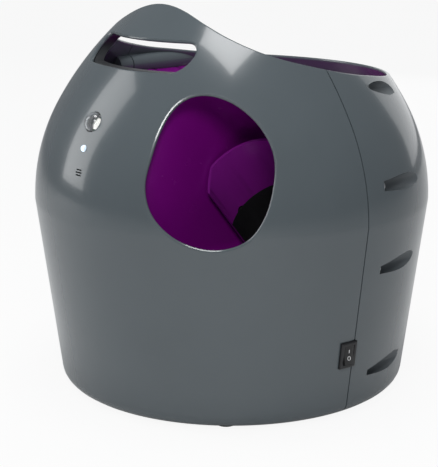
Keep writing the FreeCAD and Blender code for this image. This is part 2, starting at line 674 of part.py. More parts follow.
def launch_spring():
    """Compression spring between the tail cap and the plunger, wound in flat half turns that lean in turn."""
    low = TAIL_BACK + WIRE_R + SPRING_GAP
    high = HEAD_BACK - WIRE_R - SPRING_GAP
    rise = (high - low) / (2 * SPRING_TURNS)
    bend = math.hypot(SPRING_R, rise / 2)
    arcs = []
    for half in range(2 * SPRING_TURNS):
        side = 1 - 2 * (half % 2)
        start = V(side * SPRING_R, 0, low + half * rise)
        end = V(-side * SPRING_R, 0, start.z + rise)
        arcs.append(Part.Arc(start, V(0, side * bend, start.z + rise / 2), end).toShape())
    section = Part.Wire([Part.makeCircle(WIRE_R, V(SPRING_R, 0, low), Y_AXIS)])
    return on_launcher(Part.Wire(arcs).makePipeShell([section], True, True))


def plunger():
    """Plunger head, its leg through the barrel's slot and the toothed rack beside the barrel."""
    head = Part.makeCylinder(HEAD_R, HEAD_THICK, V(0, 0, HEAD_BACK))
    dish = Part.makeSphere(32.5, V(0, 0, HEAD_BACK + HEAD_THICK + 29.5))
    guide = Part.makeCylinder(SPRING_R - WIRE_R - 2, 12.0, V(0, 0, HEAD_BACK - 12.0))
    leg = box((-46.0, -BORE_R + 6), (-GEAR_HALF, GEAR_HALF), (HEAD_BACK, HEAD_BACK + HEAD_THICK - 1))
    root = PITCH_LINE_X + 1.25 * RACK_MODULE
    bar = box((root, root + 6.5), (-GEAR_HALF, GEAR_HALF), (GEAR_Z - 6, HEAD_BACK + HEAD_THICK))
    pieces = [head.cut(dish), guide, leg, bar]
    pitch = math.pi * RACK_MODULE
    half = pitch * (0.25 - BACKLASH / 2)
    tip = PITCH_LINE_X - 0.9 * RACK_MODULE
    for number in range(int(STROKE / pitch) + 1):
        middle = GEAR_Z + (number + 0.5) * pitch
        corners = [(root + 0.5, -GEAR_HALF, middle - half - 0.55), (tip, -GEAR_HALF, middle - half + 0.45),
                   (tip, -GEAR_HALF, middle + half - 0.45), (root + 0.5, -GEAR_HALF, middle + half + 0.55)]
        pieces.append(polygon_prism(corners, V(0, 2 * GEAR_HALF, 0)))
    return on_launcher(join(pieces))


def sector_gear():
    """Part-toothed gear that draws the rack back, with the spur gear and shaft it turns on."""
    count = int(STROKE / (math.pi * RACK_MODULE)) + 2
    sector = gear(RACK_MODULE, SECTOR_TEETH, 2 * GEAR_HALF, range(-count + 1, 1))
    spur = gear(SPUR_MODULE, SPUR_TEETH, SPUR_Y[1] - SPUR_Y[0], range(SPUR_TEETH))
    collar = Part.makeCylinder(6.0, SPUR_Y[0] - GEAR_HALF + 0.2)
    shaft = Part.makeCylinder(SHAFT_R, PLATE_Y[1][1] - PLATE_Y[0][0])
    parts = [flat_gear(sector, SECTOR_X, GEAR_Z, -GEAR_HALF),
             flat_gear(spur, SECTOR_X, GEAR_Z, SPUR_Y[0]),
             flat_gear(collar, SECTOR_X, GEAR_Z, GEAR_HALF - 0.1),
             flat_gear(shaft, SECTOR_X, GEAR_Z, PLATE_Y[0][0])]
    return on_launcher(join(parts))


def motor_pinion():
    """Pinion on the motor's shaft."""
    teeth = gear(SPUR_MODULE, PINION_TEETH, SPUR_Y[1] - SPUR_Y[0], [n + 0.5 for n in range(PINION_TEETH)])
    shaft = Part.makeCylinder(1.5, SPUR_Y[1] - PLATE_Y[0][0] + 3)
    return on_launcher(join([flat_gear(teeth, PINION_X, GEAR_Z, SPUR_Y[0]),
                             flat_gear(shaft, PINION_X, GEAR_Z, PLATE_Y[0][0] - 3)]))


def drive_motor():
    """Motor can under the lower gearbox plate, open at the shaft."""
    can = flat_gear(Part.makeCylinder(MOTOR_R, MOTOR_LENGTH), PINION_X, GEAR_Z, PLATE_Y[0][0] - MOTOR_LENGTH)
    hub = flat_gear(Part.makeCylinder(1.6, 3.4), PINION_X, GEAR_Z, PLATE_Y[0][0] - 3.3)
    end = flat_gear(Part.makeCylinder(5.0, 3.0), PINION_X, GEAR_Z, PLATE_Y[0][0] - MOTOR_LENGTH - 3)
    return on_launcher(join([can, end]).cut(hub))


def gearbox_plate(levels, shaft_hole):
    """One of the two gearbox plates, shaped to the barrel's side."""
    outline = [(-116, -146), (-116, -84), (-20, -84), (-20, -120.9), (-38, -120.9), (-38, -146)]
    plate = polygon_prism([(x, levels[0], z) for x, z in outline], V(0, levels[1] - levels[0], 0))
    plate = plate.cut(Part.makeCylinder(BARREL_R, 80, V(0, 0, -150)))
    plate = plate.cut(flat_gear(Part.makeCylinder(SHAFT_R + 1.5, 60), SECTOR_X, GEAR_Z, -30))
    plate = plate.cut(flat_gear(Part.makeCylinder(shaft_hole, 60), PINION_X, GEAR_Z, -30))
    return on_launcher(plate)


def gearbox_posts():
    """Spacers that hold the two gearbox plates apart."""
    length = PLATE_Y[1][0] - PLATE_Y[0][1]
    return on_launcher(Part.makeCompound([flat_gear(Part.makeCylinder(3.0, length), x, z, PLATE_Y[0][1])
                                          for x, z in POST_SPOTS]))


def shaft_bushes():
    """Bushes in the gearbox plates."""
    rings = []
    for levels in PLATE_Y:
        ring = tube(SHAFT_R + 1.5, SHAFT_R + RUNNING, V(0, 0, 0), Z_AXIS, levels[1] - levels[0])
        rings.append(flat_gear(ring, SECTOR_X, GEAR_Z, levels[0]))
    return on_launcher(Part.makeCompound(rings))


# ---------------------------------------------------------------- front panel and controls

def sensor_lens():
    """Clear dome over the motion sensor, held by a flange inside the casing."""
    dome = Part.makeSphere(LENS_R, V(0, 0, -2.0)).cut(Part.makeSphere(LENS_R - 1.2, V(0, 0, -2.0)))
    dome = dome.cut(box((-20, 20), (-20, 20), (-20, -2.0)))
    skirt = tube(LENS_R, LENS_R - 1.2, V(0, 0, -WALL - 1.6), Z_AXIS, WALL - 0.4)
    flange = tube(LENS_R + 2.5, LENS_R - 1.2, V(0, 0, -WALL - 1.6), Z_AXIS, 1.2)
    return on_casing(join([dome, skirt, flange]), 0, LENS_Z)


def motion_sensor():
    """Sensor can behind the dome, standing on the sensor board."""
    can = Part.makeCylinder(4.6, 8.0, V(0, 0, -12.0))
    return on_casing(can, 0, LENS_Z)


def status_led():
    """Round status light in its hole."""
    body = Part.makeCylinder(LED_R, 7.0, V(0, 0, -7.0))
    tip = Part.makeSphere(LED_R, V(0, 0, 0))
    collar = Part.makeCylinder(LED_R + 0.6, 1.0, V(0, 0, -8.0))
    return on_casing(join([body, tip, collar]), 0, LED_Z)


def speaker():
    """Small round sounder behind the slotted grille."""
    return on_casing(Part.makeCylinder(9.0, 6.0, V(0, 0, -10.5)), 0, GRILLE_Z)


def sensor_board():
    """Circuit board behind the front panel parts."""
    board = on_casing(box((-16, 16), (-28, 27), (-PANEL_DEPTH - 1.6, -PANEL_DEPTH)), 0, LED_Z)
    return board


def switch_housing():
    """Bezel and body of the power switch."""
    bezel = box((-SWITCH_W / 2, SWITCH_W / 2), (-SWITCH_H / 2, SWITCH_H / 2), (0.0, 2.0))
    bezel = bezel.makeChamfer(0.7, [edge for edge in bezel.Edges if edge.BoundBox.ZMin > 1.9])
    body = box((-SWITCH_BODY_W / 2, SWITCH_BODY_W / 2), (-SWITCH_BODY_H / 2, SWITCH_BODY_H / 2), (-16.0, 0.1))
    well = box((-ROCKER_W / 2 - 0.4, ROCKER_W / 2 + 0.4), (-ROCKER_H / 2 - 0.6, ROCKER_H / 2 + 0.6),
               (-9.0, 5.0))
    tabs = [box((low, low + 0.8), (-9, 9), (-19.0, -16.0)) for low in (-3.4, 2.6)]
    reach = TRUNNION_OUT + 0.2
    pivot = Part.makeCylinder(TRUNNION_R + RUNNING, 2 * reach, V(-reach, 0, ROCKER_PIVOT_DEPTH), X_AXIS)
    shape = join([bezel, body] + tabs).cut(well).cut(pivot)
    return on_casing(shape, SWITCH_AZIMUTH, SWITCH_Z)


def power_rocker():
    """Rocker of the power switch on its two trunnions, its upper half pressed in."""
    half = ROCKER_H / 2
    rise = half * math.tan(math.radians(ROCKER_THROW / 2))
    top = 4.4
    corners = [(-ROCKER_W / 2, -half, top), (-ROCKER_W / 2, 0, top - rise), (-ROCKER_W / 2, half, top),
               (-ROCKER_W / 2, half - 0.5, 0.2), (-ROCKER_W / 2, 2.0, -3.6), (-ROCKER_W / 2, -2.0, -3.6),
               (-ROCKER_W / 2, -half + 0.5, 0.2)]
    rocker = polygon_prism(corners, V(ROCKER_W, 0, 0))
    rocker.rotate(V(0, 0, 0), X_AXIS, -ROCKER_THROW / 2)
    rocker = join([rocker, Part.makeCylinder(TRUNNION_R, 2 * TRUNNION_OUT, V(-TRUNNION_OUT, 0, 0), X_AXIS)])
    rocker.translate(V(0, 0, ROCKER_PIVOT_DEPTH))
    return on_casing(rocker, SWITCH_AZIMUTH, SWITCH_Z)


def distance_dial():
    """Nine-step distance dial: ribbed knob with a pointer, on its shaft."""
    knob = Part.makeCone(DIAL_R, DIAL_R - 1.5, DIAL_H, V(0, 0, 0.6))
    for number in range(18):
        angle = math.radians(20 * number)
        groove = Part.makeCylinder(1.3, DIAL_H, V(DIAL_R * math.cos(angle), DIAL_R * math.sin(angle), 3.0))
        knob = knob.cut(groove)
    pointer = box((-1.2, 1.2), (4.0, DIAL_R - 2.5), (DIAL_H - 0.2, DIAL_H + 1.6))
    shaft = Part.makeCylinder(DIAL_SHAFT_R, 14.0, V(0, 0, -13.0))
    return on_casing(join([knob, pointer, shaft]), DIAL_AZIMUTH, DIAL_Z)


def dial_potentiometer():
    """Potentiometer behind the distance dial."""
    shaft_hole = Part.makeCylinder(DIAL_SHAFT_R + RUNNING, 20, V(0, 0, -13.05))
    body = box((-8, 8), (-8, 8), (-18.0, -9.0)).cut(shaft_hole)
    neck = tube(5.0, DIAL_SHAFT_R + RUNNING, V(0, 0, -9.0), Z_AXIS, 5.2)
    return on_casing(join([body, neck]), DIAL_AZIMUTH, DIAL_Z)


def dc_inlet():
    """Round power inlet in the rear half."""
    barrel = tube(INLET_R, INLET_BORE_R, V(0, 0, -12.0), Z_AXIS, 12.6)
    rim = tube(INLET_R + 1.5, INLET_BORE_R, V(0, 0, 0.2), Z_AXIS, 1.2)
    end = Part.makeCylinder(INLET_R, 2.0, V(0, 0, -14.0))
    return on_casing(join([barrel, rim, end]), INLET_AZIMUTH, INLET_Z)


def dc_inlet_pin():
    """Contact pin in the middle of the power inlet."""
    return on_casing(Part.makeCylinder(INLET_PIN_R, 9.0, V(0, 0, -12.0)), INLET_AZIMUTH, INLET_Z)


# ---------------------------------------------------------------- electronics and batteries

def control_board():
    """Main circuit board with its larger components on the inner side."""
    face = BOARD_Y[1]
    chips = [box((-30, -18), (face, face + 2.5), (50, 62)), box((-5, 10), (face, face + 5), (30, 40)),
             box((-44, -36), (face, face + 10), (74, 86))]
    return join([box(BOARD_X, BOARD_Y, BOARD_Z)] + chips)


def board_bracket():
    """Bracket that holds the control board up from the base plate."""
    width = (BOARD_X[0] - 2, BOARD_X[1] + 2)
    floor = BASE_Z + WALL + 3.5
    foot = box(width, (BOARD_Y[0] - 3.5, BOARD_Y[1] + 8), (floor, floor + 2.5))
    wall = box(width, (BOARD_Y[0] - 3.5, BOARD_Y[0]), (floor, BOARD_Z[1] - 2))
    return join([foot, wall])


def battery_box():
    """Open-backed box for six C cells, shaped to the casing's inside."""
    wall = BATTERY_WALL
    outer = box((-BATTERY_HALF, BATTERY_HALF), (BATTERY_OUT, 170), BATTERY_Z)
    inner = box((-BATTERY_HALF + wall, BATTERY_HALF - wall), (BATTERY_OUT + wall, 170),
                (BATTERY_Z[0] + wall, BATTERY_Z[1] - wall))
    return in_battery_bay(outer.cut(inner)).common(body_solid(WALL + 0.1))


def cell_spots():
    """Centres of the six cells, as (x, y) in the battery bay's own frame."""
    return [(column * 2 * CELL_R, BATTERY_OUT + BATTERY_WALL + CELL_R + row * 2 * CELL_R)
            for column in (-1, 0, 1) for row in (0, 1)]


def battery_contacts():
    """Flat contact plates on the box's ceiling, one for each cell."""
    top = BATTERY_Z[1] - BATTERY_WALL
    return in_battery_bay(Part.makeCompound([box((x - 6, x + 6), (y - 6, y + 6), (top - 0.5, top))
                                             for x, y in cell_spots()]))


def battery_springs():
    """Cone-shaped contact springs on the box's floor, one for each cell."""
    low = BATTERY_Z[0] + BATTERY_WALL
    springs = []
    for x, y in cell_spots():
        rings = [Part.makeTorus(6.0 - 1.1 * turn, 0.5, V(x, y, low + 0.5 + 1.3 * turn)) for turn in range(3)]
        foot = V(x, y, low + 0.3)
        core = Part.makeCone(6.0, 2.6, 3.4, foot).cut(Part.makeCone(5.4, 2.0, 3.4, foot))
        springs.append(join(rings + [core]))
    return in_battery_bay(Part.makeCompound(springs))


def battery_door():
    """Curved door of the battery bay, with two hinge knuckles and a finger latch."""
    skin = body_solid(0).cut(body_solid(WALL)).common(door_region(DOOR_GAP))
    knuckles = []
    for side in (-1, 1):
        span = sorted((side * KNUCKLE_SPAN[0], side * KNUCKLE_SPAN[1]))
        barrel = Part.makeCylinder(KNUCKLE_R, 8.0, V(span[0], HINGE_OUT, HINGE_Z), X_AXIS)
        web = box(span, (136.2, HINGE_OUT + KNUCKLE_R), (HINGE_Z, 21.0)).common(
            Part.makeCylinder(6.2, 8.0, V(span[0], HINGE_OUT - 2, HINGE_Z + 1.5), X_AXIS))
        hole = Part.makeCylinder(HINGE_PIN_R + RUNNING, 20, V(span[0] - 5, HINGE_OUT, HINGE_Z), X_AXIS)
        sill = body_solid(-DOOR_GAP).common(box((-FAR, FAR), (0, FAR), (0, DOOR_Z[0] + DOOR_GAP)))
        knuckles.append(in_battery_bay(join([barrel, web]).cut(hole)).cut(sill))
    door = join([skin] + knuckles)
    recess = in_battery_bay(box((-12, 12), (100, 170), (DOOR_Z[1] - 8, DOOR_Z[1] - 3)))
    return door.cut(body_solid(0).cut(body_solid(1.5)).common(recess))


def door_hinge_pins():
    """Two short pins in the rear half's lugs."""
    length = LUG_SPAN[1] - KNUCKLE_SPAN[0]
    pins = [Part.makeCylinder(HINGE_PIN_R, length, V(low, HINGE_OUT, HINGE_Z), X_AXIS)
            for low in (-LUG_SPAN[1], KNUCKLE_SPAN[0])]
    return in_battery_bay(Part.makeCompound(pins))


# ---------------------------------------------------------------- build

def main():
    """Build every piece and write each to its own file."""
    os.makedirs("parts", exist_ok=True)
    shell = casing_shell()
    pieces = {
        "front_shell": front_shell(shell), "rear_shell": rear_shell(shell),
        "handle_backing": handle_backing(),
        "base_plate": base_plate(), "rubber_feet": rubber_feet(), "base_screws": base_screws(),
        "shell_screws": shell_screws(), "hopper_bowl": hopper_bowl(), "launch_bay": launch_bay(),
        "pivot_bushes": pivot_bushes(), "pivot_pins": pivot_pins(), "index_plate": index_plate(),
        "index_arm": index_arm(), "launch_barrel": launch_barrel(), "muzzle_hood": muzzle_hood(),
        "ball_sensors": ball_sensors(),
        "tail_tube": tail_tube(), "tail_cap": tail_cap(), "launch_spring": launch_spring(),
        "plunger": plunger(), "sector_gear": sector_gear(), "motor_pinion": motor_pinion(),
        "drive_motor": drive_motor(), "gearbox_plate_lower": gearbox_plate(PLATE_Y[0], 2.5),
        "gearbox_plate_upper": gearbox_plate(PLATE_Y[1], 2.5), "gearbox_posts": gearbox_posts(),
        "shaft_bushes": shaft_bushes(), "sensor_lens": sensor_lens(), "motion_sensor": motion_sensor(),
        "status_led": status_led(), "speaker": speaker(), "sensor_board": sensor_board(),
        "switch_housing": switch_housing(), "power_rocker": power_rocker(), "distance_dial": distance_dial(),
        "dial_potentiometer": dial_potentiometer(), "dc_inlet": dc_inlet(), "dc_inlet_pin": dc_inlet_pin(),
        "control_board": control_board(), "board_bracket": board_bracket(), "battery_box": battery_box(),
        "battery_contacts": battery_contacts(), "battery_springs": battery_springs(),
        "battery_door": battery_door(), "door_hinge_pins": door_hinge_pins(),
    }
    for name, shape in pieces.items():
        shape.exportStep("parts/" + name + ".step")
        bounds = shape.BoundBox
        print("%-20s solids %2d valid %s volume %9.1f x %.1f..%.1f y %.1f..%.1f z %.1f..%.1f" % (
            name, len(shape.Solids), shape.isValid(), shape.Volume, bounds.XMin, bounds.XMax, bounds.YMin,
            bounds.YMax, bounds.ZMin, bounds.ZMax))


main()
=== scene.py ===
"""Automatic dog ball launcher, dressed round its CAD frame."""

import json
import logging
import math
from dataclasses import dataclass
from enum import Enum

import bpy
from mathutils import Matrix, Vector

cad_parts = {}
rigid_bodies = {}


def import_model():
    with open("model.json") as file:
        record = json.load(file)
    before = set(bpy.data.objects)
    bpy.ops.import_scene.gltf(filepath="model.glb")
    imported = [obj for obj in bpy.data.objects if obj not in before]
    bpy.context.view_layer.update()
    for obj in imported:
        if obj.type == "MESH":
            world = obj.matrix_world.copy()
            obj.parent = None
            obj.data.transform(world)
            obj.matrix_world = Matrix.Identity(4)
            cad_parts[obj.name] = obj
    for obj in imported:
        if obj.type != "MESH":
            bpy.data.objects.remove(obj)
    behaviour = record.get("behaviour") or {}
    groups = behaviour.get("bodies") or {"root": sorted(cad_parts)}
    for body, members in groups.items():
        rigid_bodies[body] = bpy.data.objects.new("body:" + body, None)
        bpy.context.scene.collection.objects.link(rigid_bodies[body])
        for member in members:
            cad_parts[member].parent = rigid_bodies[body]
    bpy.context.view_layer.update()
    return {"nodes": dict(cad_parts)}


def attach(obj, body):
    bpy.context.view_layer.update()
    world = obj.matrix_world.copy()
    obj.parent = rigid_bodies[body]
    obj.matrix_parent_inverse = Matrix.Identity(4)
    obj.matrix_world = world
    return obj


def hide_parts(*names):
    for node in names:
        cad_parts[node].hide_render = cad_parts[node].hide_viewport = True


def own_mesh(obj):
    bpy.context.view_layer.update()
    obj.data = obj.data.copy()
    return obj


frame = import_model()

log = logging.getLogger("launcher")
Flat = tuple[float, float]
Triple = tuple[float, float, float]
Point = Triple | Vector


# ---------------------------------------------------------------- finishes


class Grain(Enum):
    """Texture moulded into a plastic surface."""

    POLISHED = (0.0, 900.0)
    SATIN = (0.012, 1400.0)
    SPARK = (0.05, 1100.0)


def new_material(name: str) -> tuple[bpy.types.Material, bpy.types.NodeTree, bpy.types.Node]:
    """Start a node material.

    Args:
        name: Name of the material.

    Returns:
        The material, its node tree and its Principled node.
    """
    material = bpy.data.materials.new(name)
    material.use_nodes = True
    tree = material.node_tree
    shader = next(node for node in tree.nodes if node.type == "BSDF_PRINCIPLED")
    return material, tree, shader


def object_noise(tree: bpy.types.NodeTree, scale: float, detail: float = 3.0) -> bpy.types.NodeSocket:
    """Add noise on object coordinates.

    Args:
        tree: Node tree to add to.
        scale: Noise scale, in repeats per metre.
        detail: Octaves of noise.

    Returns:
        The noise's factor output.
    """
    coordinates = tree.nodes.new("ShaderNodeTexCoord")
    noise = tree.nodes.new("ShaderNodeTexNoise")
    noise.inputs["Scale"].default_value = scale
    noise.inputs["Detail"].default_value = detail
    tree.links.new(coordinates.outputs["Object"], noise.inputs["Vector"])
    return noise.outputs["Fac"]


def ramp(tree: bpy.types.NodeTree, factor: bpy.types.NodeSocket, low: Triple, high: Triple,
         span: Flat = (0.3, 0.7)) -> bpy.types.NodeSocket:
    """Blend two colours by a factor.

    Args:
        tree: Node tree to add to.
        factor: Socket that drives the blend.
        low: Colour at the low end.
        high: Colour at the high end.
        span: Factor values at which the ends are reached.

    Returns:
        The blended colour output.
    """
    node = tree.nodes.new("ShaderNodeValToRGB")
    node.color_ramp.elements[0].position = span[0]
    node.color_ramp.elements[1].position = span[1]
    node.color_ramp.elements[0].color = (*low, 1.0)
    node.color_ramp.elements[1].color = (*high, 1.0)
    tree.links.new(factor, node.inputs["Fac"])
    return node.outputs["Color"]


def spread(tree: bpy.types.NodeTree, factor: bpy.types.NodeSocket, low: float,
           high: float) -> bpy.types.NodeSocket:
    """Map a factor from 0..1 to a range of values.

    Args:
        tree: Node tree to add to.
        factor: Socket to map.
        low: Value at 0.
        high: Value at 1.

    Returns:
        The mapped value output.
    """
    node = tree.nodes.new("ShaderNodeMapRange")
    node.inputs["To Min"].default_value = low
    node.inputs["To Max"].default_value = high
    tree.links.new(factor, node.inputs["Value"])
    return node.outputs["Result"]


def bump(tree: bpy.types.NodeTree, shader: bpy.types.Node, height: bpy.types.NodeSocket, strength: float,
         distance: float) -> None:
    """Bump a shader's normal by a height.

    Args:
        tree: Node tree to add to.
        shader: Shader whose normal is bumped.
        height: Socket with the height.
        strength: Strength of the bump.
        distance: Depth of the bump in metres.
    """
    node = tree.nodes.new("ShaderNodeBump")
    node.inputs["Strength"].default_value = strength
    node.inputs["Distance"].default_value = distance
    tree.links.new(height, node.inputs["Height"])
    tree.links.new(node.outputs["Normal"], shader.inputs["Normal"])


@dataclass(frozen=True)
class PlasticFinish:
    """Moulded plastic with a faint flow mottle and a grain."""

    name: str
    color: Triple
    roughness: float
    grain: Grain = Grain.SATIN
    mottle: float = 0.06
    coat: float = 0.0
    coat_roughness: float = 0.06
    mottle_scale: float = 18.0
    gloss_scale: float = 60.0
    gloss_spread: float = 0.15
    grain_depth: float = 0.0006

    def material(self) -> bpy.types.Material:
        """Build the finish's material."""
        material, tree, shader = new_material(self.name)
        low = tuple(channel * (1.0 - self.mottle) for channel in self.color)
        high = tuple(min(1.0, channel * (1.0 + self.mottle)) for channel in self.color)
        mottle = object_noise(tree, self.mottle_scale)
        tree.links.new(ramp(tree, mottle, low, high), shader.inputs["Base Color"])
        rough = spread(tree, object_noise(tree, self.gloss_scale, detail=5.0),
                       self.roughness * (1.0 - self.gloss_spread), self.roughness * (1.0 + self.gloss_spread))
        tree.links.new(rough, shader.inputs["Roughness"])
        shader.inputs["Coat Weight"].default_value = self.coat
        shader.inputs["Coat Roughness"].default_value = self.coat_roughness
        strength, scale = self.grain.value
        if strength:
            bump(tree, shader, object_noise(tree, scale, detail=2.0), strength, self.grain_depth)
        return material


@dataclass(frozen=True)
class MetalFinish:
    """Metal with fine turning or rolling marks."""

    name: str
    color: Triple
    roughness: float
    dulling: float = 0.8
    stain_scale: float = 240.0
    mark_scale: float = 700.0
    mark_spread: float = 0.3

    def material(self) -> bpy.types.Material:
        """Build the finish's material."""
        material, tree, shader = new_material(self.name)
        dull = tuple(channel * self.dulling for channel in self.color)
        stain = object_noise(tree, self.stain_scale, detail=6.0)
        tree.links.new(ramp(tree, stain, dull, self.color), shader.inputs["Base Color"])
        rough = spread(tree, object_noise(tree, self.mark_scale, detail=4.0),
                       self.roughness * (1.0 - self.mark_spread), self.roughness * (1.0 + self.mark_spread))
        tree.links.new(rough, shader.inputs["Roughness"])
        shader.inputs["Metallic"].default_value = 1.0
        return material


@dataclass(frozen=True)
class ClearFinish:
    """Clear or frosted moulded lens."""

    name: str
    color: Triple
    roughness: float
    glow: float = 0.0
    haze: float = 0.05
    haze_scale: float = 400.0
    transmission: float = 0.92
    refraction: float = 1.49

    def material(self) -> bpy.types.Material:
        """Build the finish's material."""
        material, tree, shader = new_material(self.name)
        haze = spread(tree, object_noise(tree, self.haze_scale), self.roughness, self.roughness + self.haze)
        tree.links.new(haze, shader.inputs["Roughness"])
        shader.inputs["Base Color"].default_value = (*self.color, 1.0)
        shader.inputs["Transmission Weight"].default_value = self.transmission
        shader.inputs["IOR"].default_value = self.refraction
        if self.glow:
            shader.inputs["Emission Color"].default_value = (*self.color, 1.0)
            shader.inputs["Emission Strength"].default_value = self.glow
        return material


CASING = PlasticFinish("casing_gloss_grey", (0.098, 0.118, 0.13), 0.2, Grain.POLISHED, 0.03, 0.5)
# The handle's backing is the casing's grey plastic; its colour is painted far darker than the casing, as
# painted shade for the shadow inside the handle.
BACKING_PAINTED_SHADE = PlasticFinish("handle_inside_painted_shade", (0.025, 0.027, 0.03), 0.4)
# Pocket lining: the matt roughness is the moulding's own; the colour is painted lighter than the casing's, as
# painted light against the shade inside the pockets.
POCKET_MATT_PAINTED_LIGHT = PlasticFinish("pocket_matt_painted_light", (0.115, 0.13, 0.14), 0.5)
PURPLE = PlasticFinish("bowl_satin_purple", (0.2, 0.002, 0.215), 0.26, Grain.SATIN, 0.05, 0.25)
# The hood is the bowl's purple plastic; its colour is painted brighter and paler than the bowl's, as painted
# sheen for the light on the hood.
HOOD_PURPLE_AND_SHEEN = PlasticFinish("hood_gloss_purple_painted_sheen", (0.24, 0.012, 0.27), 0.2, Grain.SATIN, 0.05, 0.4)
BARREL = PlasticFinish("barrel_black", (0.006, 0.006, 0.007), 0.5, Grain.SATIN)
BLACK = PlasticFinish("black_nylon", (0.018, 0.018, 0.02), 0.42, Grain.SPARK)
ROCKER = PlasticFinish("rocker_black", (0.012, 0.012, 0.013), 0.25)
NATURAL = PlasticFinish("natural_acetal", (0.6, 0.58, 0.53), 0.35, Grain.SATIN)
RUBBER = PlasticFinish("soft_rubber", (0.02, 0.02, 0.02), 0.75, Grain.SPARK, 0.12)
BOARD = PlasticFinish("solder_mask_green", (0.01, 0.12, 0.035), 0.3, Grain.SATIN, 0.2)
STEEL = MetalFinish("plated_steel", (0.62, 0.62, 0.63), 0.3)
SPRING = MetalFinish("spring_steel", (0.5, 0.5, 0.52), 0.22)
NICKEL = MetalFinish("nickel_plate", (0.72, 0.69, 0.63), 0.18)
BRASS = MetalFinish("machined_brass", (0.78, 0.56, 0.22), 0.24)
MARKING = PlasticFinish("white_print", (0.8, 0.8, 0.8), 0.45, Grain.SATIN, 0.02)
LENS = ClearFinish("lens_clear", (0.93, 0.95, 0.97), 0.03)
LIGHT = ClearFinish("status_light", (0.75, 0.86, 1.0), 0.2, 0.4)

NODE_FINISHES = {
    "front_shell": CASING, "rear_shell": CASING, "battery_door": CASING, "handle_backing": BACKING_PAINTED_SHADE,
    "base_plate": BLACK, "rubber_feet": RUBBER, "base_screws": STEEL, "shell_screws": STEEL,
    "hopper_bowl": PURPLE, "launch_bay": PURPLE, "muzzle_hood": HOOD_PURPLE_AND_SHEEN,
    "launch_barrel": BARREL, "tail_tube": BARREL,
    "pivot_bushes": NATURAL, "shaft_bushes": NATURAL, "plunger": NATURAL, "sector_gear": NATURAL,
    "pivot_pins": STEEL, "index_arm": STEEL, "gearbox_posts": STEEL, "door_hinge_pins": STEEL,
    "index_plate": BLACK, "tail_cap": BLACK, "gearbox_plate_lower": BLACK, "gearbox_plate_upper": BLACK,
    "board_bracket": BLACK, "battery_box": BLACK, "ball_sensors": BLACK, "speaker": BLACK,
    "launch_spring": SPRING, "battery_springs": SPRING, "motor_pinion": BRASS, "drive_motor": STEEL,
    "sensor_lens": LENS, "status_led": LIGHT, "motion_sensor": NICKEL, "battery_contacts": NICKEL,
    "dial_potentiometer": NICKEL, "dc_inlet_pin": NICKEL, "sensor_board": BOARD, "control_board": BOARD,
    "switch_housing": BLACK, "power_rocker": ROCKER, "distance_dial": BLACK, "dc_inlet": BLACK,
}


# ---------------------------------------------------------------- modelling tools


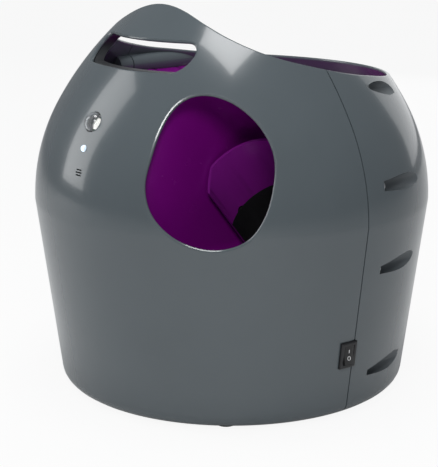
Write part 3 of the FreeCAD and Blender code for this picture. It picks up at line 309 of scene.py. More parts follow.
class Modeller:
    """Steps shared by all pieces: tracing outlines, sweeping, cutting, rounding and handing over."""

    weld: float = 0.00001

    @staticmethod
    def pick(piece: bpy.types.Object) -> None:
        """Make one piece the only selected and active one.

        Args:
            piece: The piece.
        """
        bpy.ops.object.select_all(action="DESELECT")
        piece.select_set(True)
        bpy.context.view_layer.objects.active = piece

    @staticmethod
    def open_mesh() -> None:
        """Go into edit mode with everything selected."""
        bpy.ops.object.mode_set(mode="EDIT")
        bpy.ops.mesh.select_all(action="SELECT")

    @staticmethod
    def close_mesh() -> None:
        """Turn all faces outwards and leave edit mode."""
        bpy.ops.mesh.select_all(action="SELECT")
        bpy.ops.mesh.normals_make_consistent(inside=False)
        bpy.ops.object.mode_set(mode="OBJECT")

    @staticmethod
    def merge(piece: bpy.types.Object, gap: float) -> None:
        """Merge doubled points and turn the faces outwards.

        Args:
            piece: The piece.
            gap: Distance below which points are one.
        """
        Modeller.pick(piece)
        Modeller.open_mesh()
        bpy.ops.mesh.remove_doubles(threshold=gap)
        Modeller.close_mesh()

    @staticmethod
    def trace(name: str, points: list[Point], closed: bool = True) -> bpy.types.Object:
        """Draw an outline by extruding one vertex from point to point.

        Args:
            name: Name of the new piece.
            points: Corners in metres.
            closed: Whether the last point joins the first.

        Returns:
            The new piece, still a wire.
        """
        bpy.ops.object.select_all(action="DESELECT")
        bpy.ops.mesh.primitive_plane_add(size=0.01, location=(0.0, 0.0, 0.0))
        piece = bpy.context.object
        piece.name = name
        Modeller.open_mesh()
        bpy.ops.mesh.merge(type="CENTER")
        bpy.ops.transform.translate(value=points[0])
        for start, end in zip(points, points[1:]):
            step = tuple(b - a for a, b in zip(start, end))
            bpy.ops.mesh.extrude_region_move(TRANSFORM_OT_translate={"value": step})
        if closed:
            bpy.ops.mesh.select_all(action="DESELECT")
            bpy.ops.object.mode_set(mode="OBJECT")
            vertices = piece.data.vertices
            for point in (points[0], points[-1]):
                nearest = min(vertices, key=lambda vertex: (vertex.co - Vector(point)).length_squared)
                nearest.select = True
            bpy.ops.object.mode_set(mode="EDIT")
            bpy.ops.mesh.edge_face_add()
        bpy.ops.object.mode_set(mode="OBJECT")
        return piece

    @staticmethod
    def spin(piece: bpy.types.Object, steps: int) -> None:
        """Turn a traced outline once round Z.

        Args:
            piece: The traced outline.
            steps: Number of segments.
        """
        Modeller.pick(piece)
        Modeller.open_mesh()
        bpy.ops.mesh.spin(steps=steps, angle=2.0 * math.pi, center=(0.0, 0.0, 0.0), axis=(0.0, 0.0, 1.0))
        bpy.ops.object.mode_set(mode="OBJECT")
        Modeller.merge(piece, Modeller.weld)

    @staticmethod
    def prism(name: str, points: list[Point], sweep: Point) -> bpy.types.Object:
        """Sweep a closed flat outline into a solid.

        Args:
            name: Name of the new piece.
            points: Corners of the outline.
            sweep: Sweep vector.

        Returns:
            The solid.
        """
        piece = Modeller.trace(name, points)
        Modeller.open_mesh()
        bpy.ops.mesh.edge_face_add()
        bpy.ops.mesh.select_all(action="SELECT")
        bpy.ops.mesh.extrude_region_move(TRANSFORM_OT_translate={"value": sweep})
        Modeller.close_mesh()
        return piece

    @staticmethod
    def apply(piece: bpy.types.Object, kind: str, **settings: object) -> None:
        """Add a modifier and apply it.

        Args:
            piece: Piece to modify.
            kind: Modifier type.
            settings: Modifier settings.
        """
        Modeller.pick(piece)
        modifier = piece.modifiers.new(kind.lower(), kind)
        for key, value in settings.items():
            setattr(modifier, key, value)
        bpy.ops.object.modifier_apply(modifier=modifier.name)

    @staticmethod
    def carve(piece: bpy.types.Object, tool: bpy.types.Object, operation: str = "DIFFERENCE",
              keep: bool = False) -> None:
        """Cut a piece by a tool solid, or keep what they share.

        Args:
            piece: Piece to cut.
            tool: The tool solid.
            operation: DIFFERENCE, INTERSECT or UNION.
            keep: Whether the tool is kept for another cut.
        """
        Modeller.apply(piece, "BOOLEAN", object=tool, operation=operation, solver="EXACT")
        if not keep:
            bpy.data.objects.remove(tool)

    @staticmethod
    def copy(piece: bpy.types.Object, name: str) -> bpy.types.Object:
        """Copy a piece with its own mesh.

        Args:
            piece: Piece to copy.
            name: Name of the copy.

        Returns:
            The copy.
        """
        twin = piece.copy()
        twin.data = piece.data.copy()
        twin.name = name
        bpy.context.scene.collection.objects.link(twin)
        return twin

    @staticmethod
    def loft(name: str, rings: list[list[Point]]) -> bpy.types.Object:
        """Stretch a closed skin over rings of equally many points and close both ends.

        Args:
            name: Name of the new piece.
            rings: Rings of points in metres, from one end to the other.

        Returns:
            The closed solid.
        """
        piece = Modeller.trace(name, rings[0])
        count = len(rings[0])
        left = list(range(count))
        order: list[int] = []
        for point in rings[0]:
            spot = Vector(point)
            order.append(min(left, key=lambda index: (piece.data.vertices[index].co - spot).length_squared))
            left.remove(order[-1])
        Modeller.open_mesh()
        for ring in rings[1:]:
            bpy.ops.mesh.extrude_region_move()
            bpy.ops.object.mode_set(mode="OBJECT")
            vertices = piece.data.vertices
            fresh = [vertex.index for vertex in vertices if vertex.select]
            matched: list[int] = []
            for index in order:
                spot = vertices[index].co
                twin = min(fresh, key=lambda other: (vertices[other].co - spot).length_squared)
                fresh.remove(twin)
                matched.append(twin)
            for index, place in zip(matched, ring):
                vertices[index].co = place
            order = matched
            bpy.ops.object.mode_set(mode="EDIT")
        for end in (range(count * (len(rings) - 1), count * len(rings)), range(count)):
            bpy.ops.mesh.select_all(action="DESELECT")
            bpy.ops.object.mode_set(mode="OBJECT")
            for index in end:
                piece.data.vertices[index].select = True
            bpy.ops.object.mode_set(mode="EDIT")
            bpy.ops.mesh.select_mode(type="VERT")
            bpy.ops.mesh.extrude_region_move()
            bpy.ops.mesh.merge(type="CENTER")
        Modeller.close_mesh()
        return piece

    @staticmethod
    def bead(name: str, path: list[Point], radius: float, closed: bool = True) -> bpy.types.Object:
        """Run a round bar along a path.

        Args:
            name: Name of the new piece.
            path: Points along the bar's middle.
            radius: Radius of the bar.
            closed: Whether the path is a loop.

        Returns:
            The bar.
        """
        piece = Modeller.trace(name, path, closed)
        Modeller.pick(piece)
        bpy.ops.object.convert(target="CURVE")
        piece = bpy.context.object
        piece.data.bevel_depth = radius
        piece.data.bevel_resolution = 3
        piece.data.use_fill_caps = True
        bpy.ops.object.convert(target="MESH")
        return bpy.context.object

    @staticmethod
    def rod(name: str, radius: float, start: Point, end: Point, sides: int = 48) -> bpy.types.Object:
        """Make a round rod between two points.

        Args:
            name: Name of the new piece.
            radius: Radius of the rod.
            start: Middle of one end.
            end: Middle of the other end.
            sides: Facets round the rod.

        Returns:
            The rod.
        """
        run = Vector(end) - Vector(start)
        bpy.ops.object.select_all(action="DESELECT")
        bpy.ops.mesh.primitive_cylinder_add(vertices=sides, radius=radius, depth=run.length,
                                            location=(Vector(start) + Vector(end)) / 2.0,
                                            rotation=run.to_track_quat("Z", "Y").to_euler())
        piece = bpy.context.object
        piece.name = name
        bpy.ops.object.transform_apply(location=True, rotation=True, scale=True)
        return piece

    @staticmethod
    def block(name: str, low: Point, high: Point) -> bpy.types.Object:
        """Make a rectangular block between two corners.

        Args:
            name: Name of the new piece.
            low: Lowest corner.
            high: Highest corner.

        Returns:
            The block.
        """
        outline = [low, (high[0], low[1], low[2]), (high[0], high[1], low[2]), (low[0], high[1], low[2])]
        return Modeller.prism(name, outline, (0.0, 0.0, high[2] - low[2]))

    @staticmethod
    def join(name: str, pieces: list[bpy.types.Object]) -> bpy.types.Object:
        """Put several pieces into one.

        Args:
            name: Name of the joined piece.
            pieces: The pieces.

        Returns:
            The joined piece.
        """
        bpy.ops.object.select_all(action="DESELECT")
        for piece in pieces:
            piece.select_set(True)
        bpy.context.view_layer.objects.active = pieces[0]
        bpy.ops.object.join()
        pieces[0].name = name
        return pieces[0]

    @staticmethod
    def settle(piece: bpy.types.Object, place: Matrix) -> bpy.types.Object:
        """Move a piece made at the origin to its place and apply the move.

        Args:
            piece: The piece.
            place: Its placement.

        Returns:
            The same piece.
        """
        Modeller.pick(piece)
        piece.matrix_world = place @ piece.matrix_world
        bpy.ops.object.transform_apply(location=True, rotation=True, scale=True)
        return piece

    @staticmethod
    def round_edges(piece: bpy.types.Object, width: float, segments: int = 3, angle: float = 35.0) -> None:
        """Round the piece's sharp edges.

        Args:
            piece: Piece to round.
            width: Rounding width in metres.
            segments: Facets across each rounding.
            angle: Edges sharper than this many degrees are rounded.
        """
        Modeller.merge(piece, 2.0 * Modeller.weld)
        Modeller.apply(piece, "BEVEL", width=width, segments=segments, limit_method="ANGLE",
                       angle_limit=math.radians(angle))

    @staticmethod
    def from_frame(node: str, name: str) -> bpy.types.Object:
        """Copy a node's own shape to refine it.

        Args:
            node: Name of the node.
            name: Name of the copy.

        Returns:
            The copy, with its split corners merged.
        """
        piece = Modeller.copy(frame["nodes"][node], name)
        piece.hide_render = False
        Modeller.pick(piece)
        bpy.ops.object.parent_clear(type="CLEAR_KEEP_TRANSFORM")
        bpy.ops.object.transform_apply(location=True, rotation=True, scale=True)
        Modeller.merge(piece, Modeller.weld)
        return piece

    @staticmethod
    def smooth(piece: bpy.types.Object, angle: float = 32.0) -> None:
        """Shade smoothly up to an angle.

        Args:
            piece: Piece to shade.
            angle: Degrees between faces that still look smooth.
        """
        Modeller.pick(piece)
        bpy.ops.object.shade_smooth_by_angle(angle=math.radians(angle))

    @staticmethod
    def hand_over(piece: bpy.types.Object, material: bpy.types.Material, body: str, *nodes: str) -> None:
        """Dress a piece and let it ride on its body in place of CAD nodes.

        Args:
            piece: The finished piece.
            material: Its material.
            body: Body that it moves with.
            nodes: CAD nodes that it stands for.
        """
        piece.data.materials.clear()
        piece.data.materials.append(material)
        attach(piece, body)
        if nodes:
            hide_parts(*nodes)
        log.info("made %s on %s", piece.name, body)


def smooth_curve(points: tuple[Flat, ...], steps: int, closed: bool) -> list[Flat]:
    """Draw a smooth Catmull-Rom curve through points.

    Args:
        points: Points that the curve passes through.
        steps: Pieces between neighbouring points.
        closed: Whether the curve is a loop.

    Returns:
        Points along the curve.
    """
    count = len(points)
    result: list[Flat] = []
    for index in range(count if closed else count - 1):
        if closed:
            knots = [points[(index + offset) % count] for offset in (-1, 0, 1, 2)]
        else:
            knots = [points[min(max(index + offset, 0), count - 1)] for offset in (-1, 0, 1, 2)]
        for step in range(steps):
            t = step / steps
            weights = (-0.5 * t + t * t - 0.5 * t ** 3, 1.0 - 2.5 * t * t + 1.5 * t ** 3,
                       0.5 * t + 2.0 * t * t - 1.5 * t ** 3, -0.5 * t * t + 0.5 * t ** 3)
            result.append((sum(w * k[0] for w, k in zip(weights, knots)),
                           sum(w * k[1] for w, k in zip(weights, knots))))
    if not closed:
        result.append(points[-1])
    return result


# ---------------------------------------------------------------- casing


@dataclass
class Casing:
    """Egg-shaped casing in two halves, with the handle, the ball opening and the screw pockets."""

    radius: float = 0.160
    wall: float = 0.003
    base: float = 0.003
    base_hole: float = 0.112
    waist: float = 0.153
    taper: float = 0.131
    corner: float = 0.010
    shoulder_radius: float = 0.1566
    shoulder_turn: float = 29.4
    crown_radius: float = 0.267
    crown_turn: float = 45.85
    crest_run: float = 0.060
    row: float = 0.0026
    segments: int = 240
    seam: float = -0.0113
    seam_gap: float = 0.0005
    # Block round one half: half its width, lowest and highest z.
    surround: Triple = (0.2, -0.05, 0.4)
    # Steps along the smooth curves, the rear rim (in degrees) and the crest, and rounds of their searches.
    curve_steps: int = 8
    rim_step: float = 1.5
    rim_rounds: int = 12
    side_start: float = -0.002
    crest_steps: int = 24
    crest_reach: float = 0.03
    crest_rounds: int = 30
    # How far the cutting solids reach inside and outside the wall, and up.
    cut_in: float = 0.012
    cut_out: float = 0.02
    headroom: float = 0.36
    through: float = 0.01
    handle_back: float = -0.0715
    rim: tuple[Flat, ...] = ((0.200, 0.2455), (0.130, 0.248), (0.075, 0.2507), (0.035, 0.256), (0.005, 0.261),
                             (-0.031, 0.270), (-0.052, 0.278), (-0.0647, 0.2872), (-0.0704, 0.297),
                             (-0.0715, 0.306))
    slot_half: float = 0.055
    slot_low: float = 0.265
    slot_high: float = 0.2855
    slot_turn: float = 10.0
    opening: tuple[Flat, ...] = ((0.079, 0.2515), (0.095, 0.246), (0.1115, 0.2327), (0.124, 0.215),
                                 (0.130, 0.195), (0.1303, 0.1715), (0.123, 0.153), (0.107, 0.1458),
                                 (0.088, 0.151), (0.070, 0.1668), (0.0614, 0.187), (0.0607, 0.210),
                                 (0.0612, 0.236), (0.067, 0.2485))
    pockets: tuple[Flat, ...] = ((0.1195, 0.247), (0.1525, 0.181), (0.150, 0.1175), (0.1385, 0.0335))
    pocket_radius: float = 0.006
    pocket_wall: float = 0.0025
    pocket_floor: float = 0.008
    pocket_margin: float = 1.02
    lined_from: float = 0.007
    bore_back: float = 0.12
    boss_front: float = -0.025
    boss_back: float = 0.08
    boss_skin: float = 0.002
    screw_radius: float = 0.0019
    screw_sides: int = 24
    panel_holes: tuple[Flat, ...] = ((0.228, 0.0082), (0.209, 0.0026))
    grille: Flat = (0.1915, 0.0042)
    slit_pitch: float = 0.002
    slit_half: float = 0.0005
    slit_margin: float = 0.0006
    switch: tuple[float, float, float, float] = (83.3, 0.054, 0.0152, 0.0212)
    dial: Triple = (180.0, 0.205, 0.0035)
    inlet: Triple = (152.0, 0.036, 0.00605)
    door_azimuth: float = 14.0
    door_half: float = 0.040
    door: Flat = (0.017, 0.066)
    door_depths: Flat = (0.1, 0.17)

    def arc(self, centre: Flat, radius: float, start: float, end: float) -> list[Flat]:
        """Points along an arc, about one row apart.

        Args:
            centre: Centre of the arc.
            radius: Its radius.
            start: Start angle in degrees.
            end: End angle in degrees.

        Returns:
            The points, ends included.
        """
        steps = max(2, round(abs(math.radians(end - start)) * radius / self.row))
        angles = [math.radians(start + (end - start) * step / steps) for step in range(steps + 1)]
        return [(centre[0] + radius * math.cos(angle), centre[1] + radius * math.sin(angle))
                for angle in angles]

    def line(self, start: Flat, end: Flat) -> list[Flat]:
        """Points along a straight line, about one row apart, without its first point.

        Args:
            start: Start of the line.
            end: End of the line.

        Returns:
            The points after the start.
        """
        steps = max(1, round(math.dist(start, end) / self.row))
        out, up = end[0] - start[0], end[1] - start[1]
        return [(start[0] + out * step / steps, start[1] + up * step / steps) for step in range(1, steps + 1)]

    def crown(self) -> Flat:
        """Centre (r, z) of the crown's arc."""
        turn = math.radians(self.shoulder_turn)
        lever = self.shoulder_radius - self.crown_radius
        shoulder = self.radius - self.shoulder_radius
        return (shoulder + math.cos(turn) * lever, self.waist + math.sin(turn) * lever)

    def surface(self, z: float, inset: float) -> Flat:
        """Radius of a surface inside the wall at a height, and its lean in radians.

        Args:
            z: Height.
            inset: Distance inside the outer surface.

        Returns:
            The radius and the lean.
        """
        if z <= self.waist:
            lean = -math.atan(self.taper)
            return self.radius - self.taper * (self.waist - z) - inset / math.cos(lean), lean
        shoulder = self.shoulder_radius - inset
        if z <= self.waist + shoulder * math.sin(math.radians(self.shoulder_turn)):
            lean = math.asin((z - self.waist) / shoulder)
            return self.radius - self.shoulder_radius + shoulder * math.cos(lean), lean
        centre, crown = self.crown(), self.crown_radius - inset
        lean = math.radians(self.crown_turn)
        top = centre[1] + crown * math.sin(lean)
        if z <= top:
            lean = math.asin((z - centre[1]) / crown)
            return centre[0] + crown * math.cos(lean), lean
        return centre[0] + crown * math.cos(lean) - (z - top) * math.tan(lean), lean

    def front_point(self, x: float, z: float, inset: float) -> tuple[Vector, Vector]:
        """Point of the front wall over a place in the front view, and its normal.

        Args:
            x: Across.
            z: Height.
            inset: Distance inside the outer surface.

        Returns:
            The point and the outward normal.
        """
        radius, _ = self.surface(z, inset)
        y = -math.sqrt(max(0.0, radius * radius - x * x))
        return self.on_wall(x, y, z, inset)

    def on_wall(self, x: float, y: float, z: float, inset: float) -> tuple[Vector, Vector]:
        """Point at the wall with the wall's normal there.

        Args:
            x: Across.
            y: Depth.
            z: Height.
            inset: Distance inside the outer surface.

        Returns:
            The point and the outward normal.
        """
        radius, lean = self.surface(z, inset)
        flat = math.cos(lean)
        return Vector((x, y, z)), Vector((x / radius * flat, y / radius * flat, math.sin(lean)))

    def placement(self, azimuth: float, z: float) -> Matrix:
        """Placement on the wall: +Z out of the surface and +Y up the surface.

        Args:
            azimuth: Degrees from the front towards +X.
            z: Height.

        Returns:
            The placement.
        """
        radius, lean = self.surface(z, 0.0)
        angle = math.radians(azimuth)
        across = Vector((math.cos(angle), math.sin(angle), 0.0))
        out = Vector((math.sin(angle) * math.cos(lean), -math.cos(angle) * math.cos(lean), math.sin(lean)))
        turn = Matrix((across, out.cross(across), out)).transposed().to_4x4()
        return Matrix.Translation((math.sin(angle) * radius, -math.cos(angle) * radius, z)) @ turn

    def profile(self, inset: float) -> list[Flat]:
        """Outline (r, z) from the bottom ring's inner edge up to the crest.

        Args:
            inset: Distance inside the outer surface.

        Returns:
            Points from the bottom to the top.
        """
        lean = math.degrees(math.atan(self.taper))
        corner_z = self.base + self.corner
        wall_r = self.radius - self.taper * (self.waist - corner_z)
        corner_r = wall_r - self.corner / math.cos(math.radians(lean))
        bottom = self.arc((corner_r, corner_z), self.corner - inset, -90.0, -lean)
        shoulder = (self.radius - self.shoulder_radius, self.waist)
        dome = self.arc(shoulder, self.shoulder_radius - inset, 0.0, self.shoulder_turn)
        top = self.arc(self.crown(), self.crown_radius - inset, self.shoulder_turn, self.crown_turn)
        end = math.radians(self.crown_turn)
        crest = (top[-1][0] - math.sin(end) * self.crest_run, top[-1][1] + math.cos(end) * self.crest_run)
        start = (self.base_hole, self.base + inset)
        points = [start] + self.line(start, bottom[0]) + bottom[1:] + self.line(bottom[-1], dome[0])
        return points + dome[1:] + top[1:] + self.line(top[-1], crest)

    def revolved(self) -> bpy.types.Object:
        """Make the uncut hollow casing."""
        outline = self.profile(0.0) + self.profile(self.wall)[::-1]
        piece = Modeller.trace("casing", [(r, 0.0, z) for r, z in outline])
        Modeller.spin(piece, self.segments)
        return piece

    def core(self, share: float = 0.5) -> bpy.types.Object:
        """Make the solid inside the wall, which trims what is moulded to the casing's inside.

        Args:
            share: Share of the wall's thickness left outside the solid.

        Returns:
            The solid.
        """
        outline = self.profile(self.wall * share)
        outline = [(0.0, outline[0][1])] + outline + [(0.0, outline[-1][1])]
        piece = Modeller.trace("core", [(r, 0.0, z) for r, z in outline])
        Modeller.spin(piece, self.segments)
        return piece

    def rim_height(self, y: float) -> float:
        """Height of the slanted rim's edge at a depth.

        Args:
            y: Depth, positive towards the rear.

        Returns:
            The height.
        """
        curve = smooth_curve(self.rim, self.curve_steps, False)
        for far, near in zip(curve, curve[1:]):
            if near[0] <= y <= far[0]:
                share = (far[0] - y) / (far[0] - near[0])
                return far[1] + share * (near[1] - far[1])
        return curve[-1][1]

    def rim_edge(self, inset: float) -> tuple[list[Vector], list[Vector]]:
        """Line of the slanted rim and the handle's crest, with the wall's normals.

        Args:
            inset: Distance inside the outer surface.

        Returns:
            Points once round the rim, and the normals there.
        """
        side: list[tuple[Vector, Vector]] = []
        for step in range(round(90.0 / self.rim_step) + 1):
            angle = math.radians(self.rim_step * step)
            z = self.rim[1][1]
            for _ in range(self.rim_rounds):
                radius, lean = self.surface(z, inset)
                z = self.rim_height(radius * math.cos(angle))
            out = Vector((math.sin(angle), math.cos(angle), 0.0))
            side.append((out * radius + Vector((0.0, 0.0, z)),
                         out * math.cos(lean) + Vector((0.0, 0.0, math.sin(lean)))))
        for y, z in smooth_curve(self.rim, self.curve_steps, False):
            if y < self.side_start:
                radius, _ = self.surface(z, inset)
                side.append(self.on_wall(math.sqrt(radius * radius - y * y), y, z, inset))
        last = side[-1][0]
        for step in range(1, self.crest_steps + 1):
            x = last.x * (1.0 - step / self.crest_steps)
            low, high = last.z, last.z + self.crest_reach
            for _ in range(self.crest_rounds):
                z = (low + high) / 2.0
                radius, _ = self.surface(z, inset)
                low, high = (z, high) if radius > math.hypot(x, self.handle_back) else (low, z)
            side.append(self.on_wall(x, self.handle_back, z, inset))
        mirrored = [(Vector((-p.x, p.y, p.z)), Vector((-n.x, n.y, n.z))) for p, n in side[-2:0:-1]]
        whole = side + mirrored
        return [p for p, _ in whole], [n for _, n in whole]

    def front_edge(self, outline: list[Flat], inset: float) -> tuple[list[Vector], list[Vector]]:
        """Line on the front wall over a closed outline in the front view, moved out by the lip's radius.

        Args:
            outline: Outline (x, z).
            inset: Distance inside the outer surface.

        Returns:
            Points along the line and the normals there.
        """
        pairs = [self.front_point(x, z, inset) for x, z in outline]
        points, normals = [p for p, _ in pairs], [n for _, n in pairs]
        middle = sum(points, Vector()) / len(points)
        moved: list[Vector] = []
        for index, (point, normal) in enumerate(zip(points, normals)):
            along = points[(index + 1) % len(points)] - points[index - 1]
            sideways = along.cross(normal).normalized()
            if sideways.dot(point - middle) < 0.0:
                sideways.negate()
            moved.append(point + sideways * self.wall / 2.0)
        return moved, normals

    def slot_outline(self) -> list[Flat]:
        """Racetrack outline of the grip slot in the front view."""
        radius = (self.slot_high - self.slot_low) / 2.0
        middle = (self.slot_high + self.slot_low) / 2.0
        straight = self.slot_half - radius
        outline: list[Flat] = []
        for side, start in ((1.0, -90.0), (-1.0, 90.0)):
            for step in range(round(180.0 / self.slot_turn) + 1):
                angle = math.radians(start + self.slot_turn * step)
                x, z = side * straight + radius * math.cos(angle), middle + radius * math.sin(angle)
                outline.append((x, z))
            outline += [(side * straight * (1.0 - 2.0 * step / self.curve_steps), middle + side * radius)
                        for step in range(1, self.curve_steps)]
        return outline

    def edge_tool(self, edge: tuple[list[Vector], list[Vector]]) -> bpy.types.Object:
        """Make the solid that cuts squarely through the wall along a closed line.

        Args:
            edge: Points and normals of the line.

        Returns:
            The cutting solid.
        """
        points, normals = edge
        return Modeller.loft("edge_tool", [[p + n * height for p, n in zip(points, normals)]
                                           for height in (-self.cut_in, self.cut_out)])

    def rim_tool(self) -> bpy.types.Object:
        """Make the solid that cuts the slanted top and the handle's back squarely through the wall."""
        points, normals = self.rim_edge(self.wall / 2.0)
        rings = [[p + n * height for p, n in zip(points, normals)] for height in (-self.cut_in, self.cut_in)]
        return Modeller.loft("rim_tool", [*rings, [Vector((p.x, p.y, self.headroom)) for p in rings[-1]]])

    def half_edge(self, front: bool) -> float:
        """Depth at which a half ends at the seam's groove.

        Args:
            front: Whether it is the front half.

        Returns:
            The depth.
        """
        return self.seam - self.seam_gap if front else self.seam + self.seam_gap

    def half_tool(self, front: bool) -> bpy.types.Object:
        """Make the block that keeps one half of the casing.

        Args:
            front: Whether the front half is kept.

        Returns:
            The block.
        """
        side, low, high = self.surround
        level = self.half_edge(front)
        near, far = (-side, level) if front else (level, side)
        return Modeller.block("half_tool", (-side, near, low), (side, far, high))

    def half_path(self, path: list[Vector], front: bool) -> list[Vector]:
        """Keep the part of a loop on one side of the seam, ended on that half's edge.

        Args:
            path: Points round the loop.
            front: Whether the part ahead of the seam is kept.

        Returns:
            Points along the kept part.
        """
        level = self.half_edge(front)
        kept = [(point.y < level) == front for point in path]
        start = next(index for index in range(len(path)) if kept[index] and not kept[index - 1])
        turned = path[start:] + path[:start]
        last = sum(kept)
        ends = [near.lerp(far, (level - near.y) / (far.y - near.y))
                for near, far in ((turned[0], turned[-1]), (turned[last - 1], turned[last]))]
        return [ends[0], *turned[:last], ends[1]]

    def pocket_spots(self) -> list[Flat]:
        """Both sides' pockets as (x, z)."""
        return [(side * x, z) for side in (-1.0, 1.0) for x, z in self.pockets]

    def line_pockets(self, piece: bpy.types.Object, material: bpy.types.Material) -> None:
        """Give the inside of the pockets a matt finish, its colour painted lighter than the casing as painted
        light that lifts the shade in the pockets.

        Args:
            piece: The half with the pockets.
            material: The matt finish with the painted light.
        """
        piece.data.materials.append(material)
        reach = self.pocket_margin * self.pocket_radius
        for face in piece.data.polygons:
            x, y, z = face.center
            near = min(math.hypot(x - across, z - height) for across, height in self.pocket_spots())
            if y > self.lined_from and near < reach:
                face.material_index = 1

    def bosses(self, core: bpy.types.Object, rim: bpy.types.Object) -> bpy.types.Object:
        """Make the bosses round the screws, trimmed to the casing.

        Args:
            core: Solid up to the middle of the wall.
            rim: Cutting solid of the rim.

        Returns:
            The bosses as one piece.
        """
        thick = self.pocket_radius + self.pocket_wall
        rods = [Modeller.rod("boss", thick, (x, self.boss_front, z), (x, self.boss_back, z))
                for x, z in self.pocket_spots()]
        bosses = Modeller.join("bosses", rods)
        Modeller.carve(bosses, core, "INTERSECT", True)
        Modeller.carve(bosses, rim, "DIFFERENCE", True)
        return bosses

    def bores(self) -> bpy.types.Object:
        """Make the tool for the pockets and for the screws' clearance holes."""
        wide = [Modeller.rod("bore", self.pocket_radius, (x, self.pocket_floor, z), (x, self.bore_back, z))
                for x, z in self.pocket_spots()]
        narrow = [Modeller.rod("bore", self.screw_radius, (x, self.boss_front + self.boss_skin, z),
                               (x, self.pocket_floor - Modeller.weld, z), self.screw_sides)
                  for x, z in self.pocket_spots()]
        return Modeller.join("bores", wide + narrow)

    def round_hole(self, azimuth: float, z: float, radius: float) -> bpy.types.Object:
        """Make the tool for a round hole squarely through the wall.

        Args:
            azimuth: Degrees from the front towards +X.
            z: Height.
            radius: Radius of the hole.

        Returns:
            The tool.
        """
        tool = Modeller.rod("hole", radius, (0.0, 0.0, -self.through), (0.0, 0.0, self.through))
        return Modeller.settle(tool, self.placement(azimuth, z))

    def square_hole(self, place: Matrix, middle: float, half_width: float,
                    half_height: float) -> bpy.types.Object:
        """Make the tool for a rectangular hole squarely through the wall.

        Args:
            place: Placement on the wall.
            middle: Distance of the hole's middle up the wall from the placement.
            half_width: Half its width.
            half_height: Half its height.

        Returns:
            The tool.
        """
        tool = Modeller.block("hole", (-half_width, middle - half_height, -self.through),
                              (half_width, middle + half_height, self.through))
        return Modeller.settle(tool, place)

    def front_holes(self) -> bpy.types.Object:
        """Make the tool for the holes of the dome, the status light and the sounder's slots."""
        tools = [self.round_hole(0.0, z, radius) for z, radius in self.panel_holes]
        z, radius = self.grille
        for middle in (-self.slit_pitch, 0.0, self.slit_pitch):
            reach = math.sqrt(radius ** 2 - middle ** 2) - self.slit_margin
            tools.append(self.square_hole(self.placement(0.0, z), middle, reach, self.slit_half))
        return Modeller.join("front_holes", tools)

    def switch_hole(self) -> bpy.types.Object:
        """Make the tool for the switch's opening across the seam."""
        azimuth, z, width, height = self.switch
        return self.square_hole(self.placement(azimuth, z), 0.0, width / 2.0, height / 2.0)

    def rear_holes(self) -> bpy.types.Object:
        """Make the tool for the dial, the inlet and the battery door."""
        tools = [self.round_hole(*hole) for hole in (self.dial, self.inlet)]
        near, far = self.door_depths
        door = Modeller.block("door_hole", (-self.door_half, near, self.door[0]),
                              (self.door_half, far, self.door[1]))
        tools.append(Modeller.settle(door, Matrix.Rotation(math.radians(self.door_azimuth), 4, "Z")))
        return Modeller.join("rear_holes", tools)

    def build(self, material: bpy.types.Material) -> None:
        """Build both halves.

        Args:
            material: Finish of the casing.
        """
        half_wall = self.wall / 2.0
        whole, core, rim = self.revolved(), self.core(), self.rim_tool()
        Modeller.carve(whole, self.bosses(core, rim), "UNION")
        front = Modeller.copy(whole, "casing_front")
        rear = whole
        rear.name = "casing_rear"
        for half, ahead in ((front, True), (rear, False)):
            Modeller.carve(half, self.half_tool(ahead), "INTERSECT")
            Modeller.carve(half, self.bores())
            Modeller.carve(half, self.switch_hole())
        slot = self.front_edge(self.slot_outline(), half_wall)
        opening = self.front_edge(smooth_curve(self.opening, self.curve_steps, True), half_wall)
        Modeller.carve(front, self.edge_tool(slot))
        Modeller.carve(front, self.edge_tool(opening))
        Modeller.carve(front, self.front_holes())
        Modeller.carve(rear, self.rear_holes())
        for half in (front, rear):
            Modeller.carve(half, rim, "DIFFERENCE", True)
        for tool in (core, rim):
            bpy.data.objects.remove(tool)
        rim_path = self.rim_edge(half_wall)[0]
        lips = [Modeller.bead("lip", path, half_wall) for path in (slot[0], opening[0])]
        rim_lips = [Modeller.bead("lip", self.half_path(rim_path, ahead), half_wall, False)
                    for ahead in (True, False)]
        front = Modeller.join("casing_front", [front, *lips, rim_lips[0]])
        rear = Modeller.join("casing_rear", [rear, rim_lips[1]])
        for piece in (front, rear):
            Modeller.smooth(piece)
        Modeller.hand_over(front, material, "housing", "front_shell")
        Modeller.hand_over(rear, material, "housing", "rear_shell")
        self.line_pockets(rear, POCKET_MATT_PAINTED_LIGHT.material())


# ---------------------------------------------------------------- the launcher behind the opening


